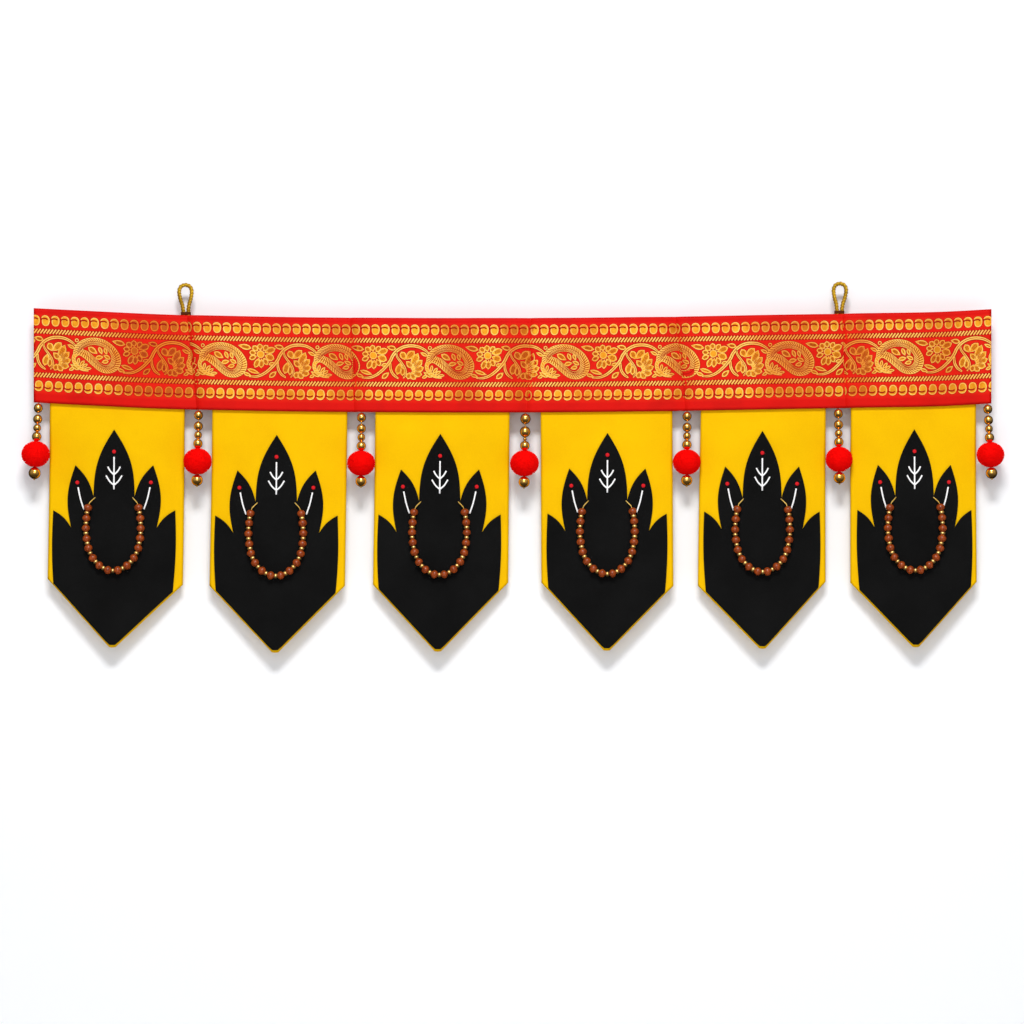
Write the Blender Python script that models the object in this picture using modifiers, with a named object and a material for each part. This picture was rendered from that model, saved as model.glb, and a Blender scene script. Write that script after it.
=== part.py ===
"""A toran, the hanging that goes over a doorway, as it hangs from two nails.

A woven heading with small tucks carries six pointed pennants. A black cloth lotus is sewn on
each, with a swag of beads over it. Seven drops of gold beads, a pompom and an end bead hang
between the pennants, and two cord loops stand on the heading's top edge.

Metres, +Z up. The face looks along -Y, and depth is +Y, away from the viewer. The origin is
at mid thickness on the middle of the heading's top edge.
"""

from collections import namedtuple
from math import cos, pi, radians, sin

import bmesh
import bpy
import numpy as np
from mathutils import Vector

# The heading, a folded strip of woven border.
HEADING_WIDTH = 0.914
HEADING_HEIGHT = 0.090
HEADING_THICKNESS = 0.0024
COLUMN_SPACING = 0.022
HEADING_ROWS = 3

# The top edge is a little uneven: its height at places across the heading.
EdgeHeight = namedtuple("EdgeHeight", "across height")
TOP_EDGE = (
    EdgeHeight(-0.457, 0.0096),
    EdgeHeight(-0.403, 0.0067),
    EdgeHeight(-0.346, 0.0040),
    EdgeHeight(-0.270, 0.0020),
    EdgeHeight(-0.108, 0.0002),
    EdgeHeight(0.007, 0.0000),
    EdgeHeight(0.121, 0.0010),
    EdgeHeight(0.236, 0.0028),
    EdgeHeight(0.331, 0.0045),
    EdgeHeight(0.408, 0.0060),
    EdgeHeight(0.457, 0.0086),
)

# A tuck is a slanting crease: where it meets the top and lower edges, how deep it is, and how
# far the cloth on its left turns towards it.
Tuck = namedtuple("Tuck", "top bottom depth reach")
TUCKS = (
    Tuck(-0.3110, -0.3015, 0.0046, 0.030),
    Tuck(-0.1552, -0.1512, 0.0026, 0.012),
    Tuck(0.0174, 0.0136, 0.0030, 0.012),
    Tuck(0.1557, 0.1652, 0.0036, 0.014),
    Tuck(0.3150, 0.3178, 0.0040, 0.026),
)
TUCK_RIGHT_REACH = 0.0035
TUCK_COLUMNS_LEFT = (1.6, 0.85, 0.4, 0.0)
TUCK_COLUMNS_RIGHT = (1.0, 3.0)

# Soft waves that run across the heading.
Wave = namedtuple("Wave", "height length shift")
WAVES = (Wave(0.0014, 0.310, 0.06), Wave(0.0007, 0.127, 0.02))

# The loops are one cord each. The route is half of the loop, from its sewn end to its top.
CORD_RADIUS = 0.0020
LOOP_HALF_ROUTE = (
    (0.00215, -0.0110),
    (0.00215, -0.0005),
    (0.00300, 0.0090),
    (0.00490, 0.0157),
    (0.00600, 0.0230),
    (0.00420, 0.0277),
    (0.00000, 0.0295),
)
LOOP_STEPS = 3
Loop = namedtuple("Loop", "name across lean")
LOOPS = (Loop("loop_left", -0.3125, -1.0), Loop("loop_right", 0.3125, 1.5))

# The pennants: their edges at the heading and at the corners, and their points.
PENNANT_THICKNESS = 0.0018
PENNANT_OVERLAP = 0.012
PENNANT_SIDE_COLUMNS = 3
PENNANT_ROWS = 6
POINT_FLAT = 0.0060
BLEND_DROP = 0.060
Pennant = namedtuple(
    "Pennant",
    "left right corner_left corner_right drop_left drop_right tip tip_drop bow lean twist",
)
PENNANTS = (
    Pennant(-0.4417, -0.3130, -0.4446, -0.3156, 0.2489, 0.2546, -0.3821, 0.3140, 0.0034, 0.0030, 0.0016),
    Pennant(-0.2863, -0.1576, -0.2899, -0.1602, 0.2556, 0.2556, -0.2267, 0.3190, 0.0030, 0.0014, -0.0012),
    Pennant(-0.1309, -0.0026, -0.1336, -0.0041, 0.2546, 0.2527, -0.0713, 0.3180, 0.0036, 0.0034, 0.0010),
    Pennant(0.0267, 0.1528, 0.0276, 0.1538, 0.2527, 0.2556, 0.0899, 0.3171, 0.0030, 0.0020, -0.0018),
    Pennant(0.1800, 0.2992, 0.1773, 0.2997, 0.2556, 0.2517, 0.2386, 0.3152, 0.0034, 0.0036, 0.0012),
    Pennant(0.3230, 0.4427, 0.3232, 0.4437, 0.2527, 0.2517, 0.3850, 0.3137, 0.0030, 0.0016, -0.0014),
)

# The black lotus, half of its outline from its blunt foot round to the top petal's point.
# bulge is how far the line to the next point curves outwards.
LOTUS_THICKNESS = 0.0010
LOTUS_INSET = 0.0016
ARC_STEPS = 5
LotusPoint = namedtuple("LotusPoint", "across up bulge")
LOTUS_HALF = (
    LotusPoint(0.0025, 0.0000, 0.0),
    LotusPoint(0.0565, 0.0522, 0.0015),
    LotusPoint(0.0580, 0.1290, 0.0020),
    LotusPoint(0.0405, 0.1120, 0.0055),
    LotusPoint(0.0370, 0.1720, 0.0030),
    LotusPoint(0.0195, 0.1420, 0.0060),
    LotusPoint(0.0000, 0.2060, 0.0),
)
LOTUS_NOMINAL_WIDTH = 0.1285

# The bead swag on each lotus. The route is half of it, from its end past the first bead to the
# lowest bead, measured from the first bead.
WOOD_BEAD_RADIUS = 0.00385
GOLD_BEAD_RADIUS = 0.00215
WOOD_BEADS = 16
SWAG_TOP_UP = 0.1311
SWAG_HALF_ROUTE = (
    (0.0228, 0.0048),
    (0.0244, -0.0010),
    (0.0257, -0.0110),
    (0.0261, -0.0220),
    (0.0250, -0.0315),
    (0.0228, -0.0410),
    (0.0178, -0.0500),
    (0.0096, -0.0572),
    (0.0000, -0.0598),
)

# The drops on the heading's lower edge. A strand is beads on a thread, top to bottom.
THREAD_RADIUS = 0.0007
StrandBead = namedtuple("StrandBead", "space diameter")
USUAL_STRAND = (
    StrandBead(0.0009, 0.0081),
    StrandBead(0.0024, 0.0081),
    StrandBead(0.0010, 0.0069),
    StrandBead(0.0006, 0.0084),
)
MIDDLE_STRAND = (
    StrandBead(0.0012, 0.0092),
    StrandBead(0.0030, 0.0095),
    StrandBead(0.0006, 0.0031),
    StrandBead(0.0006, 0.0086),
)
Drop = namedtuple("Drop", "across lean width height end_bead strand")
DROPS = (
    Drop(-0.4525, -2.7, 0.0266, 0.0246, 0.0110, USUAL_STRAND),
    Drop(-0.2996, -1.0, 0.0266, 0.0248, 0.0106, USUAL_STRAND),
    Drop(-0.1441, -0.3, 0.0264, 0.0238, 0.0102, USUAL_STRAND),
    Drop(0.0124, -1.2, 0.0272, 0.0246, 0.0104, MIDDLE_STRAND),
    Drop(0.1668, -0.5, 0.0264, 0.0240, 0.0104, USUAL_STRAND),
    Drop(0.3110, 0.7, 0.0254, 0.0238, 0.0108, USUAL_STRAND),
    Drop(0.4535, 2.8, 0.0258, 0.0238, 0.0106, USUAL_STRAND),
)
FORWARD_TILT = 3.0
LOCKS_ROUND = 6
LOCK_ROWS = 6
LOCK_HEIGHT = 0.0024
LOCK_GAP = 0.0004
LOCK_TAPER = 0.0007

# Sewn pieces keep this much apart.
GAP = 0.0003
STRAND_SIDES = 8
MERGE_DISTANCE = 0.00005

CLOTH_RED = (0.80, 0.012, 0.006)
CLOTH_YELLOW = (0.96, 0.62, 0.0)
CLOTH_BLACK = (0.008, 0.008, 0.008)
CORD_GOLD = (0.48, 0.28, 0.03)
BEAD_GOLD = (0.62, 0.33, 0.05)
BEAD_WOOD = (0.28, 0.06, 0.018)
YARN_RED = (0.85, 0.004, 0.004)


def clear_scene():
    for obj in list(bpy.data.objects):
        bpy.data.objects.remove(obj, do_unlink=True)


def make_material(name, colour, roughness, metallic=0.0):
    material = bpy.data.materials.new(name)
    material.use_nodes = True
    shader = material.node_tree.nodes["Principled BSDF"]
    shader.inputs["Base Color"].default_value = (*colour, 1.0)
    shader.inputs["Roughness"].default_value = roughness
    shader.inputs["Metallic"].default_value = metallic
    return material


def new_collection(name):
    collection = bpy.data.collections.new(name)
    bpy.context.scene.collection.children.link(collection)
    return collection


def add_object(name, data, material, collection, parent=None):
    obj = bpy.data.objects.new(name, data)
    collection.objects.link(obj)
    if material is not None:
        data.materials.append(material)
    obj.parent = parent
    return obj


def ease(share):
    """Goes smoothly from 0 to 1 as share does."""
    share = min(max(share, 0.0), 1.0)
    return share * share * (3 - 2 * share)


def smooth_points(points, steps):
    """Points along a smooth curve through the given points, with steps to each stretch."""
    points = [Vector(p) for p in points]
    padded = [2 * points[0] - points[1], *points, 2 * points[-1] - points[-2]]
    found = []
    for before, start, end, after in zip(padded, padded[1:], padded[2:], padded[3:]):
        for step in range(steps):
            t = step / steps
            found.append(
                0.5
                * (
                    2 * start
                    + (end - before) * t
                    + (2 * before - 5 * start + 4 * end - after) * t**2
                    + (3 * start - before - 3 * end + after) * t**3
                )
            )
    return [*found, points[-1]]


def top_edge_height(across):
    """The height of the heading's top edge at a place across it."""
    places = np.array([row.across for row in TOP_EDGE])
    heights = np.array([row.height for row in TOP_EDGE])
    slopes = np.gradient(heights, places)
    i = int(np.clip(np.searchsorted(places, across) - 1, 0, len(places) - 2))
    span = places[i + 1] - places[i]
    t = (across - places[i]) / span
    rise = heights[i] * (1 + 2 * t) * (1 - t) ** 2 + heights[i + 1] * t**2 * (3 - 2 * t)
    return rise + span * (slopes[i] * t * (1 - t) ** 2 + slopes[i + 1] * t**2 * (t - 1))


def lower_edge_height(across):
    return top_edge_height(across) - HEADING_HEIGHT


def heading_depth(across, height):
    """How far back the heading's middle layer lies, with its waves and tucks."""
    share = min(max((top_edge_height(across) - height) / HEADING_HEIGHT, 0.0), 1.0)
    depth = sum(w.height * sin(2 * pi * (across - w.shift) / w.length) for w in WAVES)
    for tuck in TUCKS:
        away = across - (tuck.top + (tuck.bottom - tuck.top) * share)
        reach = tuck.reach if away < 0 else TUCK_RIGHT_REACH
        depth += tuck.depth * np.exp(-abs(away) / reach)
    return float(depth)


def grid_sheet(name, columns, rows, place, thickness, material, collection):
    """A sheet of cloth from a grid. place gives a point for a share across and a share down."""
    bm = bmesh.new()
    bmesh.ops.create_grid(bm, x_segments=columns, y_segments=rows, size=1.0)
    for vertex in bm.verts:
        column = round((vertex.co.x + 1) / 2 * columns)
        row = round((1 - vertex.co.y) / 2 * rows)
        vertex.co = place(column, row)
    # Every sheet gets the same diagonals, so that one can lie flat on another.
    bmesh.ops.triangulate(bm, faces=bm.faces, quad_method="FIXED")
    mesh = bpy.data.meshes.new(name)
    bm.to_mesh(mesh)
    bm.free()
    sheet = add_object(name, mesh, material, collection)
    solidify = sheet.modifiers.new("Thickness", "SOLIDIFY")
    solidify.thickness = thickness
    solidify.offset = 0.0
    return sheet


def heading_columns():
    """Places across the heading's middle for its columns of faces, closer at each tuck."""
    half = HEADING_WIDTH / 2
    count = round(HEADING_WIDTH / COLUMN_SPACING)
    near_tucks = []
    for tuck in TUCKS:
        middle = (tuck.top + tuck.bottom) / 2
        near_tucks += [middle - share * tuck.reach for share in TUCK_COLUMNS_LEFT]
        near_tucks += [middle + share * TUCK_RIGHT_REACH for share in TUCK_COLUMNS_RIGHT]
    evenly = np.linspace(-half, half, count + 1)
    clear = [a for a in evenly if min(abs(a - t) for t in near_tucks) > COLUMN_SPACING / 3]
    return sorted([*clear, *near_tucks])


def make_heading(material, collection):
    columns = heading_columns()
    middles = [-HEADING_WIDTH / 2, *[(t.top + t.bottom) / 2 for t in TUCKS], HEADING_WIDTH / 2]
    slants = [0.0, *[t.bottom - t.top for t in TUCKS], 0.0]

    def place(column, row):
        down = row / HEADING_ROWS
        across = columns[column]
        across += float(np.interp(across, middles, slants)) * (down - 0.5)
        height = top_edge_height(across) - down * HEADING_HEIGHT
        return across, heading_depth(across, height), height

    grid_sheet(
        "heading", len(columns) - 1, HEADING_ROWS, place, HEADING_THICKNESS, material, collection
    )


def make_loop(loop, material, collection):
    """One hanging loop, its sewn ends behind the heading and its eye above the top edge."""
    base = top_edge_height(loop.across)
    half = smooth_points([(x, 0, z) for x, z in LOOP_HALF_ROUTE], LOOP_STEPS)
    route = [Vector((-p.x, 0, p.z)) for p in half] + half[-2::-1]
    reach = LOOP_HALF_ROUTE[0][0] + CORD_RADIUS
    sewn_at = base + LOOP_HALF_ROUTE[0][1]
    behind = max(
        heading_depth(loop.across + away, sewn_at) for away in np.linspace(-reach, reach, 15)
    )
    curve = bpy.data.curves.new(loop.name, "CURVE")
    curve.dimensions = "3D"
    curve.bevel_depth = CORD_RADIUS
    curve.bevel_resolution = 2
    curve.use_fill_caps = True
    spline = curve.splines.new("POLY")
    spline.points.add(len(route) - 1)
    for point, place in zip(spline.points, route):
        point.co = (*place, 1.0)
    obj = add_object(loop.name, curve, material, collection)
    depth = behind + HEADING_THICKNESS / 2 + GAP + CORD_RADIUS
    obj.location = (loop.across, depth, base)
    obj.rotation_euler.y = radians(loop.lean)


def pennant_edges(pennant, height):
    """The left and right edges of a pennant at a height, and its middle and half width."""
    top_left = lower_edge_height(pennant.left)
    share = (top_left - height) / (top_left + pennant.drop_left)
    left = pennant.left + (pennant.corner_left - pennant.left) * share
    right = pennant.right + (pennant.corner_right - pennant.right) * share
    return left, right, (left + right) / 2, (right - left) / 2


def pennant_depth(pennant, across, height):
    """How far back a pennant's middle layer lies: on the heading at its top, and then its own hang."""
    _, _, middle, half = pennant_edges(pennant, height)
    side = (across - middle) / half
    edge = lower_edge_height(across)
    blend = ease((edge - height) / BLEND_DROP)
    down = max(0.0, (edge - height) / (edge + pennant.tip_drop))
    hang = pennant.bow * side**2 + pennant.lean * sin(pi * down) + pennant.twist * side * down
    sewn = HEADING_THICKNESS / 2 + GAP + PENNANT_THICKNESS / 2
    # Above the edge the pennant lies on the heading's back, so it follows its depth there.
    return heading_depth(across, max(height, edge)) * (1 - blend) + hang * blend + sewn


def pennant_shares(pennant):
    """How far across a pennant its columns run. The middle two are the ends of its blunt point."""
    width = pennant.corner_right - pennant.corner_left
    point = (pennant.tip - pennant.corner_left) / width
    blunt = POINT_FLAT / 2 / width
    left = np.linspace(0.0, point - blunt, PENNANT_SIDE_COLUMNS + 1)
    right = np.linspace(point + blunt, 1.0, PENNANT_SIDE_COLUMNS + 1)
    return [*map(float, left), *map(float, right)]


def pennant_place(pennant, column, row):
    """A place on a pennant. Its columns run from the sewn top to the two slanting lower edges."""
    shares = pennant_shares(pennant)
    share = shares[column]
    top_across = pennant.left + (pennant.right - pennant.left) * share
    top = lower_edge_height(top_across) + PENNANT_OVERLAP
    low_across = pennant.corner_left + (pennant.corner_right - pennant.corner_left) * share
    if column <= PENNANT_SIDE_COLUMNS:
        slant = share / shares[PENNANT_SIDE_COLUMNS]
        corner = pennant.drop_left
    else:
        slant = (1 - share) / (1 - shares[PENNANT_SIDE_COLUMNS + 1])
        corner = pennant.drop_right
    low = -(corner + (pennant.tip_drop - corner) * slant)
    down = row / PENNANT_ROWS
    across = top_across + (low_across - top_across) * down
    height = top + (low - top) * down
    return across, pennant_depth(pennant, across, height), height


def pennant_sheet(name, pennant, forward, thickness, material, collection):
    """A sheet with a pennant's shape and hang, set forward of it."""

    def place(column, row):
        across, depth, height = pennant_place(pennant, column, row)
        return across, depth - forward, height

    columns = 2 * PENNANT_SIDE_COLUMNS + 1
    return grid_sheet(name, columns, PENNANT_ROWS, place, thickness, material, collection)


def arc(start, end, bulge, steps):
    """Points from start towards end on a shallow curve that stands out by bulge to the right."""
    start, end = Vector(start), Vector(end)
    along = end - start
    outwards = Vector((along.y, -along.x)).normalized()
    return [
        start + along * (i / steps) + outwards * bulge * sin(pi * i / steps) for i in range(steps)
    ]


def lotus_outline(pennant):
    """The lotus on a pennant as points across and up, fitted to the pennant's own width."""
    half = []
    for point, following in zip(LOTUS_HALF, LOTUS_HALF[1:]):
        steps = ARC_STEPS if point.bulge else 1
        half += arc(point[:2], following[:2], point.bulge, steps)
    top = LOTUS_HALF[-1]
    outline = [*half, Vector(top[:2]), *[Vector((-p.x, p.y)) for p in reversed(half)]]
    scale = (pennant.corner_right - pennant.corner_left) / LOTUS_NOMINAL_WIDTH
    lowest = -pennant.tip_drop + LOTUS_INSET
    middle = (pennant.corner_left + pennant.corner_right) / 2
    # The lotus leans with its pennant, whose point isn't quite under the middle of its top.
    lean = (pennant.tip - middle) / top.up
    return [
        Vector((middle + p.x * scale + lean * (top.up - p.y), lowest + p.y)) for p in outline
    ]


def outline_cutter(name, outline, collection):
    """A deep prism of an outline, for cutting a sheet to that shape."""
    curve = bpy.data.curves.new(name, "CURVE")
    curve.dimensions = "2D"
    curve.fill_mode = "BOTH"
    curve.extrude = HEADING_HEIGHT
    spline = curve.splines.new("POLY")
    spline.points.add(len(outline) - 1)
    for point, place in zip(spline.points, outline):
        point.co = (place.x, place.y, 0.0, 1.0)
    spline.use_cyclic_u = True
    guide = add_object(name + "_curve", curve, None, collection)
    guide.rotation_euler.x = pi / 2
    bpy.context.view_layer.update()
    graph = bpy.context.evaluated_depsgraph_get()
    mesh = bpy.data.meshes.new_from_object(guide.evaluated_get(graph))
    bm = bmesh.new()
    bm.from_mesh(mesh)
    bmesh.ops.remove_doubles(bm, verts=bm.verts, dist=MERGE_DISTANCE)
    bmesh.ops.recalc_face_normals(bm, faces=bm.faces)
    bm.to_mesh(mesh)
    bm.free()
    cutter = add_object(name, mesh, None, collection)
    cutter.matrix_world = guide.matrix_world
    bpy.data.objects.remove(guide)
    cutter.hide_render = True
    cutter.display_type = "WIRE"
    return cutter


def make_lotus(number, pennant, material, collection, cutters):
    """A black lotus that lies on the front of its pennant and follows its hang."""
    forward = PENNANT_THICKNESS / 2 + GAP + LOTUS_THICKNESS / 2
    name = f"lotus_{number}"
    sheet = pennant_sheet(name, pennant, forward, LOTUS_THICKNESS, material, collection)
    cut = sheet.modifiers.new("Outline", "BOOLEAN")
    cut.operation = "INTERSECT"
    cut.object = outline_cutter(f"lotus_outline_{number}", lotus_outline(pennant), cutters)


def swag_route(pennant):
    """The line of a bead swag over its lotus, from one end to the other, in the row's frame."""
    middle = (pennant.corner_left + pennant.corner_right) / 2
    top = LOTUS_HALF[-1].up
    lean = (pennant.tip - middle) / top
    middle += lean * (top - SWAG_TOP_UP)
    high = -pennant.tip_drop + LOTUS_INSET + SWAG_TOP_UP
    sides = [(-x, z) for x, z in SWAG_HALF_ROUTE] + list(SWAG_HALF_ROUTE[-2::-1])
    raised = PENNANT_THICKNESS / 2 + LOTUS_THICKNESS + 2 * GAP + WOOD_BEAD_RADIUS
    route = []
    for x, z in sides:
        across, height = middle + x, high + z
        route.append((across, pennant_depth(pennant, across, height) - raised, height))
    return smooth_points(route, 6)


def spaced_points(route, distances):
    """Points at the given distances along a route."""
    steps = np.array([(b - a).length for a, b in zip(route, route[1:])])
    along = np.concatenate([[0.0], np.cumsum(steps)])
    places = np.array(route)
    return [Vector([np.interp(d, along, places[:, k]) for k in range(3)]) for d in distances]


def make_swag(number, pennant, material, collection):
    """A string of beads as one body. Each wooden bead swells it, and each gold one is a waist."""
    route = swag_route(pennant)
    length = sum((b - a).length for a, b in zip(route, route[1:]))
    pitch = length / WOOD_BEADS
    distances, sizes = [0.0], [GOLD_BEAD_RADIUS]
    for bead in range(WOOD_BEADS):
        distances += [(bead + share) * pitch for share in (0.28, 0.72, 1.0)]
        sizes += [WOOD_BEAD_RADIUS, WOOD_BEAD_RADIUS, GOLD_BEAD_RADIUS]
    curve = bpy.data.curves.new(f"garland_{number}", "CURVE")
    curve.dimensions = "3D"
    curve.bevel_depth = 1.0
    curve.bevel_resolution = 1
    curve.use_fill_caps = True
    spline = curve.splines.new("POLY")
    spline.points.add(len(distances) - 1)
    for point, place, size in zip(spline.points, spaced_points(route, distances), sizes):
        point.co = (*place, 1.0)
        point.radius = size
    add_object(f"garland_{number}", curve, material, collection)


def strand_profile(strand):
    """Half of a strand's outline, as radius and height, from its top down its outer side."""
    height = -GAP
    profile = [(0.0, height), (THREAD_RADIUS, height)]
    for bead in strand:
        radius = bead.diameter / 2
        height -= bead.space
        profile.append((THREAD_RADIUS, height))
        for angle in (45, 90, 135):
            turn = radians(angle)
            profile.append((radius * sin(turn), height - radius * (1 - cos(turn))))
        height -= bead.diameter
        profile.append((THREAD_RADIUS, height))
    return [*profile, (0.0, height)]


def make_strand(name, strand, material, collection, parent):
    """Beads on a thread, turned from their profile. Returns the height of its lower end."""
    profile = strand_profile(strand)
    bm = bmesh.new()
    corners = [bm.verts.new((radius, 0.0, height)) for radius, height in profile]
    for first, second in zip(corners, corners[1:]):
        bm.edges.new((first, second))
    mesh = bpy.data.meshes.new(name)
    bm.to_mesh(mesh)
    bm.free()
    obj = add_object(name, mesh, material, collection, parent)
    screw = obj.modifiers.new("Turn", "SCREW")
    screw.axis = "Z"
    screw.steps = STRAND_SIDES
    screw.render_steps = STRAND_SIDES
    screw.use_merge_vertices = True
    screw.merge_threshold = MERGE_DISTANCE
    return profile[-1][1]


def pompom_mesh(name, width, height):
    """A round pompom: tapered locks of yarn that stand on a core, a little apart."""
    bm = bmesh.new()
    core = width / 2 - LOCK_HEIGHT
    bmesh.ops.create_uvsphere(bm, u_segments=LOCKS_ROUND, v_segments=LOCK_ROWS, radius=core)
    locks = list(bm.faces)
    bmesh.ops.inset_individual(bm, faces=locks, thickness=LOCK_GAP)
    bmesh.ops.inset_individual(bm, faces=locks, thickness=LOCK_TAPER, depth=LOCK_HEIGHT)
    tallest = max(v.co.z for v in bm.verts)
    widest = max(v.co.xy.length for v in bm.verts)
    for vertex in bm.verts:
        vertex.co.x *= width / 2 / widest
        vertex.co.y *= width / 2 / widest
        vertex.co.z *= height / 2 / tallest
    mesh = bpy.data.meshes.new(name)
    bm.to_mesh(mesh)
    bm.free()
    return mesh


def bead_mesh(name, diameter):
    bm = bmesh.new()
    bmesh.ops.create_uvsphere(bm, u_segments=8, v_segments=6, radius=diameter / 2)
    mesh = bpy.data.meshes.new(name)
    bm.to_mesh(mesh)
    bm.free()
    mesh.shade_smooth()
    return mesh


def make_drop(number, drop, bead_gold, yarn, collection):
    """A strand, a pompom and an end bead, in line below a point on the heading's lower edge."""
    edge = lower_edge_height(drop.across)
    hanger = bpy.data.objects.new(f"drop_{number}", None)
    collection.objects.link(hanger)
    hanger.location = (drop.across, heading_depth(drop.across, edge), edge)
    hanger.rotation_euler = (-radians(FORWARD_TILT), radians(-drop.lean), 0)
    low = make_strand(f"strand_{number}", drop.strand, bead_gold, collection, hanger)
    name = f"pompom_{number}"
    pompom = add_object(name, pompom_mesh(name, drop.width, drop.height), yarn, collection, hanger)
    pompom.location.z = low - GAP - drop.height / 2
    name = f"end_bead_{number}"
    bead = add_object(name, bead_mesh(name, drop.end_bead), bead_gold, collection, hanger)
    bead.location.z = low - 2 * GAP - drop.height - drop.end_bead / 2


def main():
    clear_scene()
    toran = new_collection("Toran")
    cutters = new_collection("Cutters")
    red = make_material("Woven red border", CLOTH_RED, 0.55)
    yellow = make_material("Yellow cloth", CLOTH_YELLOW, 0.7)
    black = make_material("Black cloth", CLOTH_BLACK, 0.85)
    cord = make_material("Gold cord", CORD_GOLD, 0.45, 0.6)
    gold = make_material("Gold beads", BEAD_GOLD, 0.2, 0.9)
    wood = make_material("Wooden beads", BEAD_WOOD, 0.4)
    yarn = make_material("Red yarn", YARN_RED, 0.95)

    make_heading(red, toran)
    for loop in LOOPS:
        make_loop(loop, cord, toran)
    for number, pennant in enumerate(PENNANTS, start=1):
        name = f"pennant_{number}"
        pennant_sheet(name, pennant, 0.0, PENNANT_THICKNESS, yellow, toran)
        make_lotus(number, pennant, black, toran, cutters)
        make_swag(number, pennant, wood, toran)
    for number, drop in enumerate(DROPS, start=1):
        make_drop(number, drop, gold, yarn, toran)


main()
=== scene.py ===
"""Dresses a toran, the hanging that goes over a doorway, around its solid model.

A woven heading with gold figures carries six pointed pennants. A black cloth lotus is sewn on
each pennant, with a swag of wooden beads over it. Drops of gold beads and pompoms hang between
the pennants, and two loops of gold cord stand on the heading.

Metres, in the model's own frame: +X runs along the heading, +Y away from the viewer, +Z up,
and the origin is the middle of the heading's top edge. Figures are drawn in millimetres.
"""

from __future__ import annotations

import logging
from dataclasses import dataclass, field
from enum import Enum
from math import atan2, cos, pi, radians, sin
from typing import Iterable, Sequence

import bmesh
import bpy
import numpy as np
from mathutils import Matrix, Vector
from mathutils.geometry import delaunay_2d_cdt


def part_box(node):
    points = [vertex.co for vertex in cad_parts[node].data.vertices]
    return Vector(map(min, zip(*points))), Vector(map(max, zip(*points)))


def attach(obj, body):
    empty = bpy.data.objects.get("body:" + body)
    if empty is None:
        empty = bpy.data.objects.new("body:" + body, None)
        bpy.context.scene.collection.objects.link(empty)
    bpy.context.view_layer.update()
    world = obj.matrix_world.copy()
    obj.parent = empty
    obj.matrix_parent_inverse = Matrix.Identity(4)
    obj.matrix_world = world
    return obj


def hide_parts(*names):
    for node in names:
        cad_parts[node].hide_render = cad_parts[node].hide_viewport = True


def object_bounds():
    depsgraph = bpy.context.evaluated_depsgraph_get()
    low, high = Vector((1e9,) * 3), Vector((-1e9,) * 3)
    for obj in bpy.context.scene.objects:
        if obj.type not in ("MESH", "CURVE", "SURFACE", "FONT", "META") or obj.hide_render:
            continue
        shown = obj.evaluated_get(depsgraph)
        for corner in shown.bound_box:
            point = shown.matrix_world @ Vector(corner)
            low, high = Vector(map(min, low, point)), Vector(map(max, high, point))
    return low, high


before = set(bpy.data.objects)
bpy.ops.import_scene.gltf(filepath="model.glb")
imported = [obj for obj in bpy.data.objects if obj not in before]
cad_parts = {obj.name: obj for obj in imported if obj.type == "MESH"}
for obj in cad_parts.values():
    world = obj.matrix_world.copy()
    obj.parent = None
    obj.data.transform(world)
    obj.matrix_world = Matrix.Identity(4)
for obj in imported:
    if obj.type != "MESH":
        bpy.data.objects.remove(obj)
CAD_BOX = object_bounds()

log = logging.getLogger("toran")

MM = 0.001
BODY = "root"
Pair = tuple[float, float]
Outline = Sequence[Pair]


class Slot(Enum):
    """The record's material slots."""

    BORDER = "woven_border"
    YELLOW = "yellow_cloth"
    BLACK = "black_cloth"
    CORD = "gold_cord"
    GOLD = "gold_beads"
    WOOD = "wooden_beads"
    YARN = "red_yarn"


def linear(code: str) -> tuple[float, float, float, float]:
    """Turns an sRGB hex colour to linear.

    Args:
        code: Six hex digits after a hash, such as "#E31B12".

    Returns:
        Linear red, green, blue and an alpha of 1.
    """
    parts = [int(code[i : i + 2], 16) / 255 for i in (1, 3, 5)]
    red, green, blue = (
        p / 12.92 if p <= 0.04045 else ((p + 0.055) / 1.055) ** 2.4 for p in parts
    )
    return red, green, blue, 1.0


Tree = bpy.types.NodeTree
Node = bpy.types.Node
Socket = bpy.types.NodeSocket


def feed(tree: Tree, node: Node, links: dict) -> Node:
    """Fills a node's sockets, each with the output that feeds it or with its value.

    Args:
        tree: The tree that the node is in.
        node: The node.
        links: For a socket's name or number, an output or a value.

    Returns:
        The same node.
    """
    for socket, value in links.items():
        if isinstance(value, Socket):
            tree.links.new(value, node.inputs[socket])
        else:
            node.inputs[socket].default_value = value
    return node


def add_node(
    tree: Tree, kind: str, settings: dict | None = None, links: dict | None = None
) -> Node:
    """Adds a node with its settings and what goes into its sockets.

    Args:
        tree: The tree that the node joins.
        kind: The node's type, such as "ShaderNodeBump".
        settings: The node's own properties by name.
        links: What goes into its sockets, as for feed.

    Returns:
        The new node.
    """
    node = tree.nodes.new(kind)
    for name, value in (settings or {}).items():
        setattr(node, name, value)
    return feed(tree, node, links or {})


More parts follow.
